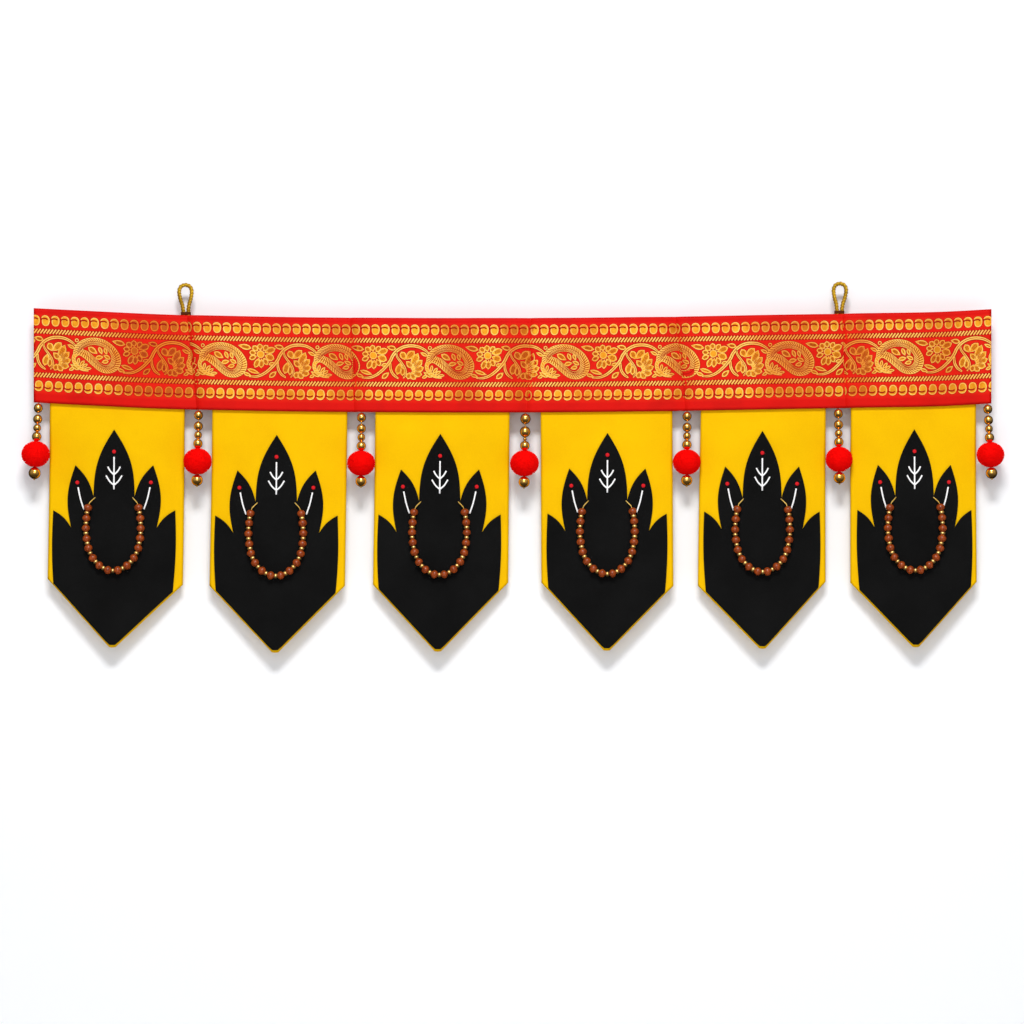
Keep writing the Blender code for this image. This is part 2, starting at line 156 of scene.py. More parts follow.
def patchy(
    tree: Tree, noise: dict, span: Pair, colours: Sequence[Socket | str], most: float = 1.0
) -> tuple[Socket, Socket]:
    """Mixes two colours by the patches of a noise.

    Args:
        tree: The material's tree.
        noise: What goes into the noise, such as its Vector and its Scale for a metre.
        span: The noise's values where the patches start and where they are full.
        colours: What is between the patches and what they are, each a hex colour or an output.
        most: The most that is mixed in of the patches' colour.

    Returns:
        The mixed colour, and the noise itself.
    """
    speckle = add_node(tree, "ShaderNodeTexNoise", links=noise).outputs["Fac"]
    range_of = {"Value": speckle, "From Min": span[0], "From Max": span[1], "To Max": most}
    share = add_node(tree, "ShaderNodeMapRange", links=range_of).outputs[0]
    first, second = (linear(c) if isinstance(c, str) else c for c in colours)
    mixed = add_node(tree, "ShaderNodeMix", {"data_type": "RGBA"}, {0: share, 6: first, 7: second})
    return mixed.outputs[2], speckle


@dataclass(frozen=True)
class Ribs:
    """The ribs of threads: their pitch and depth, how uneven they are and how strongly they show,
    and the axes that they follow each other along."""

    pitch: float
    depth: float = 0.05 * MM
    uneven: float = 0.0
    strength: float = 0.5
    along: Sequence[str] = ("DIAGONAL",)

    def normal(self, tree: Tree, place: Socket) -> Socket:
        """Gives the normal of a surface with these ribs.

        Args:
            tree: The material's tree.
            place: The coordinates that the ribs follow.

        Returns:
            The output for the shader's Normal.
        """
        # A Wave texture's bands are 2 pi / 20 apart at a Scale of 1.
        wave = {"Vector": place, "Scale": 2 * pi / 20 / self.pitch, "Distortion": self.uneven}
        first, *rest = (
            add_node(tree, "ShaderNodeTexWave", {"bands_direction": axis}, wave).outputs["Fac"]
            for axis in self.along
        )
        for other in rest:
            both = {0: first, 1: other}
            first = add_node(tree, "ShaderNodeMath", {"operation": "MAXIMUM"}, both).outputs[0]
        height = {"Strength": self.strength, "Distance": self.depth, "Height": first}
        return add_node(tree, "ShaderNodeBump", links=height).outputs[0]


@dataclass(frozen=True)
class Finish:
    """A finish of one material. Each kind below fills in the nodes."""

    name: str

    def material(self) -> bpy.types.Material:
        """Gives the material, which is made the first time that it is asked for."""
        found = bpy.data.materials.get(self.name)
        if found is None:
            found = bpy.data.materials.new(self.name)
            found.use_nodes = True
            tree = found.node_tree
            place = add_node(tree, "ShaderNodeTexCoord").outputs["Object"]
            feed(tree, tree.nodes["Principled BSDF"], self.surface(tree, place))
        return found

    def surface(self, tree: Tree, place: Socket) -> dict:
        """Adds the finish's own nodes.

        Args:
            tree: The material's tree.
            place: The piece's own coordinates, in metres.

        Returns:
            What goes into the Principled shader's sockets.
        """
        raise NotImplementedError


@dataclass(frozen=True)
class WovenCloth(Finish):
    """Cloth of one colour. The crossing threads break the light up, and the dye varies softly.

    The real threads are 0.3 to 0.4 mm apart, too fine to show, so the weave is drawn coarser.
    """

    colour: str
    deep: str
    thread: float = 0.9 * MM
    roughness: float = 0.8
    patch: float = 45 * MM

    def surface(self, tree: Tree, place: Socket) -> dict:
        """Adds dye, fibre and weave nodes. See Finish.surface for Args and Returns."""
        patches, fibres = (
            add_node(tree, "ShaderNodeTexNoise", links={"Vector": place, "Scale": s, "Detail": d})
            for s, d in ((1 / self.patch, 3.0), (0.7 / self.thread, 2.0))
        )
        sum_of = {0: fibres.outputs["Fac"], 1: 0.5, 2: patches.outputs["Fac"]}
        amount = add_node(tree, "ShaderNodeMath", {"operation": "MULTIPLY_ADD"}, sum_of)
        range_of = {"Value": amount.outputs[0], "From Min": 0.45, "From Max": 1.05}
        share = add_node(tree, "ShaderNodeMapRange", links=range_of).outputs[0]
        colours = {0: share, 6: linear(self.colour), 7: linear(self.deep)}
        dye = add_node(tree, "ShaderNodeMix", {"data_type": "RGBA"}, colours)
        weave = Ribs(self.thread, uneven=0.6, strength=0.6, along=("X", "Z"))
        return {
            "Base Color": dye.outputs[2],
            "Normal": weave.normal(tree, place),
            "Roughness": self.roughness,
            "Specular IOR Level": 0.06,
        }


@dataclass(frozen=True)
class BrocadeGround(Finish):
    """The heading's satin ground. It is plain red at the margins, and where figures are woven in
    the gold threads that run behind it show through and make it more orange and brighter."""

    margin: str = "#D41008"
    worked: str = "#DC1C0A"
    deep: str = "#B00C05"
    thread: float = 0.9 * MM
    worked_from: float = 5 * MM
    worked_to: float = 81 * MM
    patch: float = 30 * MM

    def surface(self, tree: Tree, place: Socket) -> dict:
        """Adds the zones, dye patches and satin ribs. See Finish.surface for Args and Returns."""
        cloth = add_node(tree, "ShaderNodeUVMap", {"uv_map": "Cloth"}).outputs[0]
        below = add_node(tree, "ShaderNodeSeparateXYZ", links={0: cloth}).outputs[1]
        enters, leaves = (
            add_node(
                tree,
                "ShaderNodeMapRange",
                links={"Value": below, "From Min": edge - soft, "From Max": edge + soft},
            ).outputs[0]
            for edge, soft in ((self.worked_from, MM), (self.worked_to, -MM))
        )
        worked = add_node(tree, "ShaderNodeMath", {"operation": "MULTIPLY"}, {0: enters, 1: leaves})
        colours = {0: worked.outputs[0], 6: linear(self.margin), 7: linear(self.worked)}
        ground = add_node(tree, "ShaderNodeMix", {"data_type": "RGBA"}, colours).outputs[2]
        noise = {"Vector": cloth, "Scale": 1 / self.patch, "Detail": 4.0}
        return {
            "Base Color": patchy(tree, noise, (0.45, 0.8), (ground, self.deep), most=0.6)[0],
            "Normal": Ribs(self.thread, uneven=1.0).normal(tree, cloth),
            "Roughness": 0.6,
            "Specular IOR Level": 0.08,
        }


@dataclass(frozen=True)
class MetalThread(Finish):
    """Flattened metallic yarn. Its ribs scatter the light along them. It dulls in places at random,
    and it carries painted shade: where the mesh's "turned" attribute is high, its colour goes to
    the darker "away" colour and it loses its metal."""

    colour: str
    dull: str
    # The colour of the painted shade, where the "turned" attribute is high.
    away: str = "#C8640A"
    thread: float = 0.8 * MM
    metallic: float = 0.35
    roughness: float = 0.42
    ribs: str = "X"
    patch: float = 14 * MM

    def surface(self, tree: Tree, place: Socket) -> dict:
        """Adds the dull places, the painted shade and the ribs. See Finish.surface for Args and
        Returns.
        """
        noise = {"Vector": place, "Scale": 1 / self.patch, "Detail": 5.0, "Roughness": 0.7}
        dye, _ = patchy(tree, noise, (0.4, 0.72), (self.colour, self.dull))
        # The "turned" attribute paints shade: it mixes in the darker away colour and takes the
        # metal away.
        turned = add_node(tree, "ShaderNodeAttribute", {"attribute_name": "turned"}).outputs["Fac"]
        colours = {0: turned, 6: dye, 7: linear(self.away)}
        seen = add_node(tree, "ShaderNodeMix", {"data_type": "RGBA"}, colours)
        range_of = {"Value": turned, "To Min": self.metallic, "To Max": 0.0}
        metal = add_node(tree, "ShaderNodeMapRange", links=range_of)
        ribs = Ribs(self.thread, 0.08 * MM, uneven=0.8, strength=0.7, along=(self.ribs,))
        return {
            "Base Color": seen.outputs[2],
            "Metallic": metal.outputs[0],
            "Normal": ribs.normal(tree, place),
            "Roughness": self.roughness,
            "Specular IOR Level": 0.12,
        }


@dataclass(frozen=True)
class PlatedBead(Finish):
    """Gold plating on a bead. It mirrors the room, a little blurred by fine scratches."""

    colour: str = "#FFC461"
    worn: str = "#DE9838"
    roughness: float = 0.14

    def surface(self, tree: Tree, place: Socket) -> dict:
        """Adds worn places and scratches. See Finish.surface for Args and Returns."""
        noise = {"Vector": place, "Scale": 400.0, "Detail": 4.0}
        coat, wear = patchy(tree, noise, (0.5, 0.8), (self.colour, self.worn))
        low, high = self.roughness * 0.7, self.roughness * 1.8
        range_of = {"Value": wear, "To Min": low, "To Max": high}
        rough = add_node(tree, "ShaderNodeMapRange", links=range_of)
        return {"Base Color": coat, "Roughness": rough.outputs[0], "Metallic": 1.0}


@dataclass(frozen=True)
class StainedWood(Finish):
    """Turned wood, stained and polished. The grain shows as fine dark streaks under the polish."""

    colour: str = "#9E420E"
    streak: str = "#642006"

    def surface(self, tree: Tree, place: Socket) -> dict:
        """Adds the grain and the polish. See Finish.surface for Args and Returns."""
        turn = {"Vector": place, "Rotation": (0.4, 0.7, 0.9), "Scale": (1.0, 1.0, 0.25)}
        along = add_node(tree, "ShaderNodeMapping", links=turn).outputs[0]
        noise = {"Vector": along, "Scale": 900.0, "Detail": 4.0}
        stain, _ = patchy(tree, noise, (0.42, 0.68), (self.colour, self.streak))
        return {"Base Color": stain, "Roughness": 0.3, "Specular IOR Level": 0.4}


@dataclass(frozen=True)
class CutYarn(Finish):
    """Dyed acrylic yarn, cut short. The pile holds the light and is deeper between the tufts."""

    colour: str = "#FF0C08"
    deep: str = "#EC0402"

    def surface(self, tree: Tree, place: Socket) -> dict:
        """Adds the yarn's own variation. See Finish.surface for Args and Returns."""
        noise = {"Vector": place, "Scale": 700.0, "Detail": 2.0}
        dye, _ = patchy(tree, noise, (0.0, 1.0), (self.colour, self.deep))
        return {"Base Color": dye, "Roughness": 0.9, "Specular IOR Level": 0.05}


@dataclass(frozen=True)
class PlainThread(Finish):
    """Spun sewing thread, matt, with its twist as a fine slant."""

    colour: str

    def surface(self, tree: Tree, place: Socket) -> dict:
        """Adds the thread's twist. See Finish.surface for Args and Returns."""
        return {
            "Base Color": linear(self.colour),
            "Normal": Ribs(0.6 * MM).normal(tree, place),
            "Roughness": 0.75,
            "Specular IOR Level": 0.08,
        }


@dataclass(frozen=True)
class MattPaint(Finish):
    """Matt wall paint, which scatters the light evenly. The wall's doesn't hide what is in front
    of it from a view from behind."""

    colour: str
    specular: float = 0.5
    one_sided: bool = False

    def surface(self, tree: Tree, place: Socket) -> dict:
        """Lets the view through the back. See Finish.surface for Args and Returns."""
        if self.one_sided:
            side = add_node(tree, "ShaderNodeNewGeometry").outputs["Backfacing"]
            clear = add_node(tree, "ShaderNodeBsdfTransparent").outputs[0]
            paint = tree.nodes["Principled BSDF"].outputs[0]
            mix = add_node(tree, "ShaderNodeMixShader", links={0: side, 1: paint, 2: clear})
            feed(tree, tree.nodes["Material Output"], {"Surface": mix.outputs[0]})
        colour = linear(self.colour)
        return {"Base Color": colour, "Roughness": 0.9, "Specular IOR Level": self.specular}


BORDER_SATIN = BrocadeGround("Polyester satin, woven, red")
# The away colours below are painted shade, used where the "turned" attribute is high.
ZARI_FLOAT = MetalThread(
    "Zari yarn, long floats", colour="#FFD26A", dull="#FAA838", away="#DC7216"
)
ZARI_FILL = MetalThread(
    "Zari yarn, mixed with red weft",
    colour="#F7AE28",
    dull="#DC7E0C",
    away="#B64C05",
    ribs="DIAGONAL",
)
# Dark red weft for the veins of the pattern, and for the rims, which are painted shadow round the
# raised gold.
SHADED_WEFT = PlainThread("Polyester weft, deep red, with painted shadow", colour="#A01006")
YELLOW_COTTON = WovenCloth("Cotton poplin, dyed yellow", colour="#F3BF00", deep="#EAB200")
BLACK_COTTON = WovenCloth(
    "Cotton twill, dyed black", colour="#141414", deep="#0C0C0C", roughness=0.9
)
CORD_YARN = MetalThread(
    "Metallic cord, twisted", colour="#D6A92C", dull="#9C7414", thread=0.7 * MM, metallic=0.55
)
BEAD_PLATING = PlatedBead("Plated beads, gold")
SPACER_PLATING = PlatedBead(
    "Plated beads, brushed", colour="#F6CE7C", worn="#E2A94E", roughness=0.32
)
BEAD_WOOD = StainedWood("Turned wood, stained and polished")
PILE_YARN = CutYarn("Acrylic yarn, cut pile, red")
WHITE_THREAD = PlainThread("Cotton cord, bleached", colour="#FFFFFF")
RED_THREAD = PlainThread("Cotton thread, red", colour="#D01C24")
BLACK_THREAD = PlainThread("Cotton thread, black", colour="#121212")
BROWN_THREAD = PlainThread("Cotton thread, dark brown", colour="#5A2E12")
GOLD_THREAD = MetalThread(
    "Metallic sewing thread", colour="#E9C46A", dull="#C79A3A", thread=0.6 * MM
)
WALL_PAINT = MattPaint("Matt paint, white", colour="#F7F8FA", specular=0.0, one_sided=True)
FLOOR_PAINT = MattPaint("Matt paint, pale", colour="#E9EAEC")


def smooth_line(points: Sequence[Sequence[float]], steps: int, closed: bool = False) -> np.ndarray:
    """Gives points on a smooth curve through the given ones.

    Args:
        points: The points to go through, of two or three numbers each.
        steps: How many points each stretch gets.
        closed: Whether the curve comes back to its start.

    Returns:
        An array with a row for each point. A closed curve doesn't repeat its first one.
    """
    knots = np.asarray(points, float)
    if closed:
        padded = np.vstack([knots[-1], knots, knots[0], knots[1]])
    else:
        padded = np.vstack([2 * knots[0] - knots[1], knots, 2 * knots[-1] - knots[-2]])
    t = (np.arange(steps) / steps)[:, None]
    found = []
    for before, start, end, after in zip(padded, padded[1:], padded[2:], padded[3:]):
        found.append(
            0.5
            * (
                2 * start
                + (end - before) * t
                + (2 * before - 5 * start + 4 * end - after) * t**2
                + (3 * start - before - 3 * end + after) * t**3
            )
        )
    return np.vstack(found if closed else [*found, knots[-1:]])


def walk(route: np.ndarray, distances: np.ndarray) -> np.ndarray:
    """Gives the points at the given distances along a route."""
    along = np.concatenate([[0.0], np.cumsum(np.linalg.norm(np.diff(route, axis=0), axis=1))])
    return np.stack([np.interp(distances, along, route[:, k]) for k in range(route.shape[1])], 1)


def route_length(route: np.ndarray) -> float:
    """Gives a route's length."""
    return float(np.linalg.norm(np.diff(route, axis=0), axis=1).sum())


def evenly(route: np.ndarray, count: int, closed: bool = False) -> np.ndarray:
    """Gives points that are equally far apart along a route.

    Args:
        route: The points of the route.
        count: How many to give.
        closed: Whether the route comes back to its start.

    Returns:
        A row for each point.
    """
    line = np.vstack([route, route[:1]]) if closed else route
    return walk(line, np.linspace(0, route_length(line), count, endpoint=not closed))


def object_of(name: str, data: bpy.types.ID) -> bpy.types.Object:
    """Puts a mesh, a light or a camera in the scene as an object at the origin."""
    obj = bpy.data.objects.new(name, data)
    bpy.context.scene.collection.objects.link(obj)
    return obj


def mesh_of(name: str, shape: bmesh.types.BMesh, smooth: bool = False) -> bpy.types.Mesh:
    """Turns a bmesh into a mesh and frees it."""
    mesh = bpy.data.meshes.new(name)
    shape.to_mesh(mesh)
    shape.free()
    if smooth:
        mesh.shade_smooth()
    return mesh


def ball(
    name: str,
    radius: float,
    sides: int,
    rings: int,
    stretch: Sequence[float] = (1.0, 1.0, 1.0),
    smooth: bool = True,
) -> bpy.types.Object:
    """Makes a ball at the origin, with its poles along Z, stretched or flat.

    Args:
        name: The object's name.
        radius: Its radius.
        sides: How many sides it has round Z.
        rings: How many rings from pole to pole.
        stretch: How many times as long it is along each axis.
        smooth: Whether it is shaded smooth.

    Returns:
        The ball.
    """
    shape = bmesh.new()
    bmesh.ops.create_uvsphere(shape, u_segments=sides, v_segments=rings, radius=radius)
    bmesh.ops.scale(shape, vec=stretch, verts=shape.verts)
    return object_of(name, mesh_of(name, shape, smooth))


def mesh_object(
    name: str,
    points: np.ndarray,
    faces: Sequence[Sequence[int]],
    finish: Finish,
    cloth: np.ndarray | None = None,
) -> bpy.types.Object:
    """Makes a smooth-shaded object from points and faces.

    Args:
        name: The object's name.
        points: A row of x, y and z for each point.
        faces: The points' numbers around each face.
        finish: What it is made of.
        cloth: For each point, its place on the flat cloth in metres, for the UV map.

    Returns:
        The object.
    """
    mesh = bpy.data.meshes.new(name)
    mesh.from_pydata([tuple(map(float, p)) for p in points], [], [tuple(f) for f in faces])
    if cloth is not None:
        layer = mesh.uv_layers.new(name="Cloth")
        corners = np.empty(len(mesh.loops), int)
        mesh.loops.foreach_get("vertex_index", corners)
        layer.data.foreach_set("uv", np.asarray(cloth, np.float32)[corners].ravel())
    mesh.shade_smooth()
    mesh.materials.append(finish.material())
    return object_of(name, mesh)


def piece_done(piece: bpy.types.Object, slot: Slot, *nodes: str) -> bpy.types.Object:
    """Puts a finished piece on the model's body and hides the nodes it stands for.

    Args:
        piece: The finished object.
        slot: The material slot it takes its finish from. Not used.
        nodes: The solid model's nodes that it replaces.

    Returns:
        The same object.
    """
    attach(piece, BODY)
    if nodes:
        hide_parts(*nodes)
    log.info("%s: %d faces", piece.name, len(piece.data.polygons))
    return piece


def sheet_faces(rows: int, columns: int) -> tuple[list[list[int]], list[int]]:
    """Gives the faces of a sheet's front, back and rim, and the rim's points in order.

    The points are numbered front first, row by row, then the back, then the rim.

    Args:
        rows: How many rows of points the front has.
        columns: How many points are in a row.

    Returns:
        The faces, and the front's points around its edge.
    """
    back = rows * columns
    grid = np.arange(back).reshape(rows, columns)
    corners = (grid[:-1, :-1], grid[1:, :-1], grid[1:, 1:], grid[:-1, 1:])
    faces = []
    for face in np.stack(corners, -1).reshape(-1, 4).tolist():
        faces.append(face)
        faces.append([back + i for i in reversed(face)])
    edges = (grid[:-1, 0], grid[-1, :-1], grid[:0:-1, -1], grid[0, :0:-1])
    rim = np.concatenate(edges).tolist()
    middle = 2 * back
    for i, here in enumerate(rim):
        j = (i + 1) % len(rim)
        there = rim[j]
        faces.append([here, middle + i, middle + j, there])
        faces.append([middle + i, back + here, back + there, middle + j])
    return faces, rim


def cloth_sheet(
    name: str, front: np.ndarray, thickness: float, flat: np.ndarray, finish: Finish
) -> bpy.types.Object:
    """Makes a closed sheet of cloth from the places on its front, with a rounded rim.

    Args:
        name: The object's name.
        front: An array of rows, columns and x, y, z, from the top left.
        thickness: How thick the cloth is.
        flat: The same grid's places on the flat cloth.
        finish: What it is made of.

    Returns:
        The object.
    """
    rows, columns, _ = front.shape
    faces, rim = sheet_faces(rows, columns)
    face_side = front.reshape(-1, 3)
    back_side = face_side + (0.0, thickness, 0.0)
    middle = (face_side[rim] + back_side[rim]) / 2
    ahead, behind = np.roll(middle, -1, 0), np.roll(middle, 1, 0)
    along = ahead - behind
    outward = np.stack([along[:, 2], np.zeros(len(rim)), -along[:, 0]], 1)
    outward /= -np.linalg.norm(outward, axis=1, keepdims=True)
    middle = middle + outward * thickness * 0.4
    places = flat.reshape(-1, 2)
    return mesh_object(
        name,
        np.vstack([face_side, back_side, middle]),
        faces,
        finish,
        np.vstack([places, places, places[rim]]),
    )


def tube(
    route: np.ndarray,
    radius: float,
    sides: int,
    lobes: int = 0,
    lay: float = 0.0,
    depth: float = 0.0,
) -> tuple[np.ndarray, list[list[int]]]:
    """Sweeps a round or lobed section along a route and closes its ends.

    Args:
        route: The points of its middle line.
        radius: The outside radius.
        sides: How many sides the section has.
        lobes: How many strands show on a twisted cord, or 0 for a round one.
        lay: The length of one whole twist of the strands.
        depth: How deep the grooves between strands are, as a share of the radius.

    Returns:
        The points and the faces.
    """
    ahead = np.gradient(route, axis=0)
    ahead /= np.linalg.norm(ahead, axis=1, keepdims=True)
    lengths = np.concatenate([[0], np.cumsum(np.linalg.norm(np.diff(route, axis=0), axis=1))])
    side = np.cross(ahead[0], (0.0, 1.0, 0.0))
    if np.linalg.norm(side) < 0.1:
        side = np.cross(ahead[0], (1.0, 0.0, 0.0))
    angles = np.arange(sides) * 2 * pi / sides
    rings = []
    for place, forward, length in zip(route, ahead, lengths):
        side = side - forward * np.dot(side, forward)
        side /= np.linalg.norm(side)
        other = np.cross(forward, side)
        turn = 2 * pi * length / lay if lay else 0.0
        swell = 1 - depth * (1 - np.abs(np.cos((angles - turn) * lobes / 2))) if lobes else 1.0
        reach = radius * swell * np.ones(sides)
        rings.append(
            place + np.outer(reach * np.cos(angles), side) + np.outer(reach * np.sin(angles), other)
        )
    points = np.vstack([*rings, route[:1], route[-1:]])
    faces = []
    for ring in range(len(route) - 1):
        for i in range(sides):
            j = (i + 1) % sides
            a, b = ring * sides, (ring + 1) * sides
            faces.append([a + i, a + j, b + j, b + i])
    start, end = len(route) * sides, len(route) * sides + 1
    last = (len(route) - 1) * sides
    for i in range(sides):
        j = (i + 1) % sides
        faces.append([start, j, i])
        faces.append([end, last + i, last + j])
    return points, faces


def tubes_object(
    name: str, parts: Iterable[tuple[np.ndarray, list[list[int]]]], finish: Finish
) -> bpy.types.Object:
    """Joins several swept parts in one object.

    Args:
        name: The object's name.
        parts: The points and faces of each part.
        finish: What they are made of.

    Returns:
        The object.
    """
    points: list[np.ndarray] = []
    faces: list[list[int]] = []
    count = 0
    for some_points, some_faces in parts:
        points.append(some_points)
        faces += [[count + i for i in face] for face in some_faces]
        count += len(some_points)
    return mesh_object(name, np.vstack(points), faces, finish)


class MakerTree:
    """A Geometry Nodes tree that sets copies of a piece on points, with named inputs."""

    # The first socket that the Random Value node has for each kind of value.
    LOW = {"FLOAT_VECTOR": 0, "FLOAT": 2}

    def __init__(self, name: str, inputs: dict[str, str]) -> None:
        """Starts a tree with its inputs and a geometry output.

        Args:
            name: The tree's name.
            inputs: Each input's name and its kind of socket, such as Float.
        """
        self.tree = bpy.data.node_groups.new(name, "GeometryNodeTree")
        sockets = {"Geometry": "Geometry", **inputs, "Seed": "Int", "Finish": "Material"}
        for label, kind in sockets.items():
            self.socket(label, "INPUT", kind)
        self.socket("Geometry", "OUTPUT", "Geometry")
        self.given = self.node("NodeGroupInput").outputs

    def socket(self, label: str, way: str, kind: str) -> None:
        """Adds an input or output of a kind, such as Float."""
        self.tree.interface.new_socket(name=label, in_out=way, socket_type=f"NodeSocket{kind}")

    def node(self, kind: str, settings: dict | None = None, links: dict | None = None) -> Node:
        """Adds a node. See add_node for Args and Returns."""
        return add_node(self.tree, kind, settings, links)

    def turned(self, facing: Socket, turn: Socket) -> Socket:
        """Turns copies along a direction, and then by angles of their own.

        Args:
            facing: The direction that each copy's Z axis takes.
            turn: The angles about the copy's own axes.

        Returns:
            The rotation.
        """
        align = "FunctionNodeAlignRotationToVector"
        upright = self.node(align, {"axis": "Z"}, {"Vector": facing}).outputs[0]
        spin = self.node("FunctionNodeEulerToRotation", links={0: turn}).outputs[0]
        rotate = "FunctionNodeRotateRotation"
        return self.node(rotate, {"rotation_space": "LOCAL"}, {0: upright, 1: spin}).outputs[0]

    def chance(self, kind: str, low: Socket | float, high: Socket | float) -> Node:
        """Gives a random value of a kind between two others, by the tree's seed."""
        ends = {self.LOW[kind]: low, self.LOW[kind] + 1: high, "Seed": self.given["Seed"]}
        return self.node("FunctionNodeRandomValue", {"data_type": kind}, ends)

    def end(self, instances: Socket) -> None:
        """Makes the copies real, gives them their finish and sends them out.

        Args:
            instances: The socket that holds the copies.
        """
        real = self.node("GeometryNodeRealizeInstances", links={0: instances}).outputs[0]
        finish = {"Geometry": real, "Material": self.given["Finish"]}
        dressed = self.node("GeometryNodeSetMaterial", links=finish)
        self.node("NodeGroupOutput", links={0: dressed.outputs[0]})

    def run(self, name: str, base: bpy.types.Mesh, values: dict) -> bpy.types.Object:
        """Runs the tree on a mesh and gives the result as a plain object.

        Args:
            name: The new object's name.
            base: The mesh that it starts from.
            values: Each named input's value. An object among them is removed afterwards.

        Returns:
            The object, with no modifier left on it.
        """
        obj = object_of(name, base)
        modifier = obj.modifiers.new("Make", "NODES")
        modifier.node_group = self.tree
        for item in self.tree.interface.items_tree:
            if item.item_type == "SOCKET" and item.in_out == "INPUT" and item.name in values:
                modifier[item.identifier] = values[item.name]
        graph = bpy.context.evaluated_depsgraph_get()
        mesh = bpy.data.meshes.new_from_object(obj.evaluated_get(graph))
        obj.modifiers.clear()
        obj.data = mesh
        mesh.name = name
        for value in values.values():
            if isinstance(value, bpy.types.Object):
                bpy.data.objects.remove(value)
        return obj


class PathTree(MakerTree):
    """Sets a piece on each point of a path, turned to follow it and scaled by the point's size."""

    def __init__(self) -> None:
        """Builds the tree."""
        super().__init__("Pieces on a path", {"Piece": "Object", "Turn": "Float", "Follow": "Bool"})
        given = self.given
        curve = self.node("GeometryNodeMeshToCurve", links={0: given["Geometry"]}).outputs[0]
        turn = self.chance("FLOAT", 0.0, given["Turn"]).outputs[1]
        angle = self.node("ShaderNodeCombineXYZ", links={2: turn}).outputs[0]
        tangent = self.node("GeometryNodeInputTangent").outputs[0]
        choice = {0: given["Follow"], 2: self.turned(tangent, angle)}
        chosen = self.node("GeometryNodeSwitch", {"input_type": "ROTATION"}, choice).outputs[0]
        named = "GeometryNodeInputNamedAttribute"
        size = self.node(named, {"data_type": "FLOAT"}, {"Name": "size"}).outputs[0]
        piece = self.node("GeometryNodeObjectInfo", links={0: given["Piece"]}).outputs["Geometry"]
        copies = {"Points": curve, "Instance": piece, "Rotation": chosen, "Scale": size}
        self.end(self.node("GeometryNodeInstanceOnPoints", links=copies).outputs[0])

    def place(
        self,
        name: str,
        piece: bpy.types.Object,
        points: np.ndarray,
        finish: Finish,
        sizes: Sequence[float] | float = 1.0,
        **values: float,
    ) -> bpy.types.Object:
        """Sets a piece on points and removes the piece itself.

        Args:
            name: The new object's name.
            piece: The piece to copy.
            points: Where the copies go, in order.
            finish: What they are made of.
            sizes: Each copy's size, or that of them all.
            values: The tree's other inputs, such as Follow.

        Returns:
            The copies, as one object.
        """
        base = bpy.data.meshes.new(f"{name}_path")
        edges = [(i, i + 1) for i in range(len(points) - 1)]
        base.from_pydata([tuple(map(float, p)) for p in points], edges, [])
        size = base.attributes.new("size", "FLOAT", "POINT")
        each = np.broadcast_to(np.asarray(sizes, float), len(points))
        size.data.foreach_set("value", each.copy())
        return self.run(name, base, {"Piece": piece, "Finish": finish.material(), **values})


class PileTree(MakerTree):
    """Sets tufts all over a surface, standing on it and leaning a little at random."""

    def __init__(self) -> None:
        """Builds the tree."""
        sizes = dict.fromkeys(("Spacing", "Most", "Lean", "Shortest"), "Float")
        super().__init__("Pile on a surface", {"Tuft": "Object", **sizes})
        given = self.given
        spread = {
            "Mesh": given["Geometry"],
            "Distance Min": given["Spacing"],
            "Density Max": given["Most"],
            "Seed": given["Seed"],
        }
        poisson = {"distribute_method": "POISSON"}
        spots = self.node("GeometryNodeDistributePointsOnFaces", poisson, spread)
        low, high = (
            self.node(
                "ShaderNodeVectorMath",
                {"operation": "SCALE"},
                {0: (sign, sign, sign * 6.0), "Scale": given["Lean"]},
            ).outputs[0]
            for sign in (-1.0, 1.0)
        )
        lean = self.chance("FLOAT_VECTOR", low, high).outputs[0]
        leaning = self.turned(spots.outputs["Normal"], lean)
        length = self.chance("FLOAT", given["Shortest"], 1.0).outputs[1]
        tuft = self.node("GeometryNodeObjectInfo", links={0: given["Tuft"]}).outputs["Geometry"]
        copies = {"Points": spots.outputs["Points"], "Instance": tuft}
        copies |= {"Rotation": leaning, "Scale": length}
        placed = self.node("GeometryNodeInstanceOnPoints", links=copies).outputs[0]
        cover = self.node("GeometryNodeJoinGeometry", links={0: given["Geometry"]})
        self.tree.links.new(placed, cover.inputs[0])
        self.end(cover.outputs[0])


@dataclass(frozen=True)
class Tuck:
    """A slanting crease of the heading: its place at the top and the lower edge, its depth, and
    how far the cloth on its left turns towards it."""

    top: float
    bottom: float
    depth: float
    reach: float


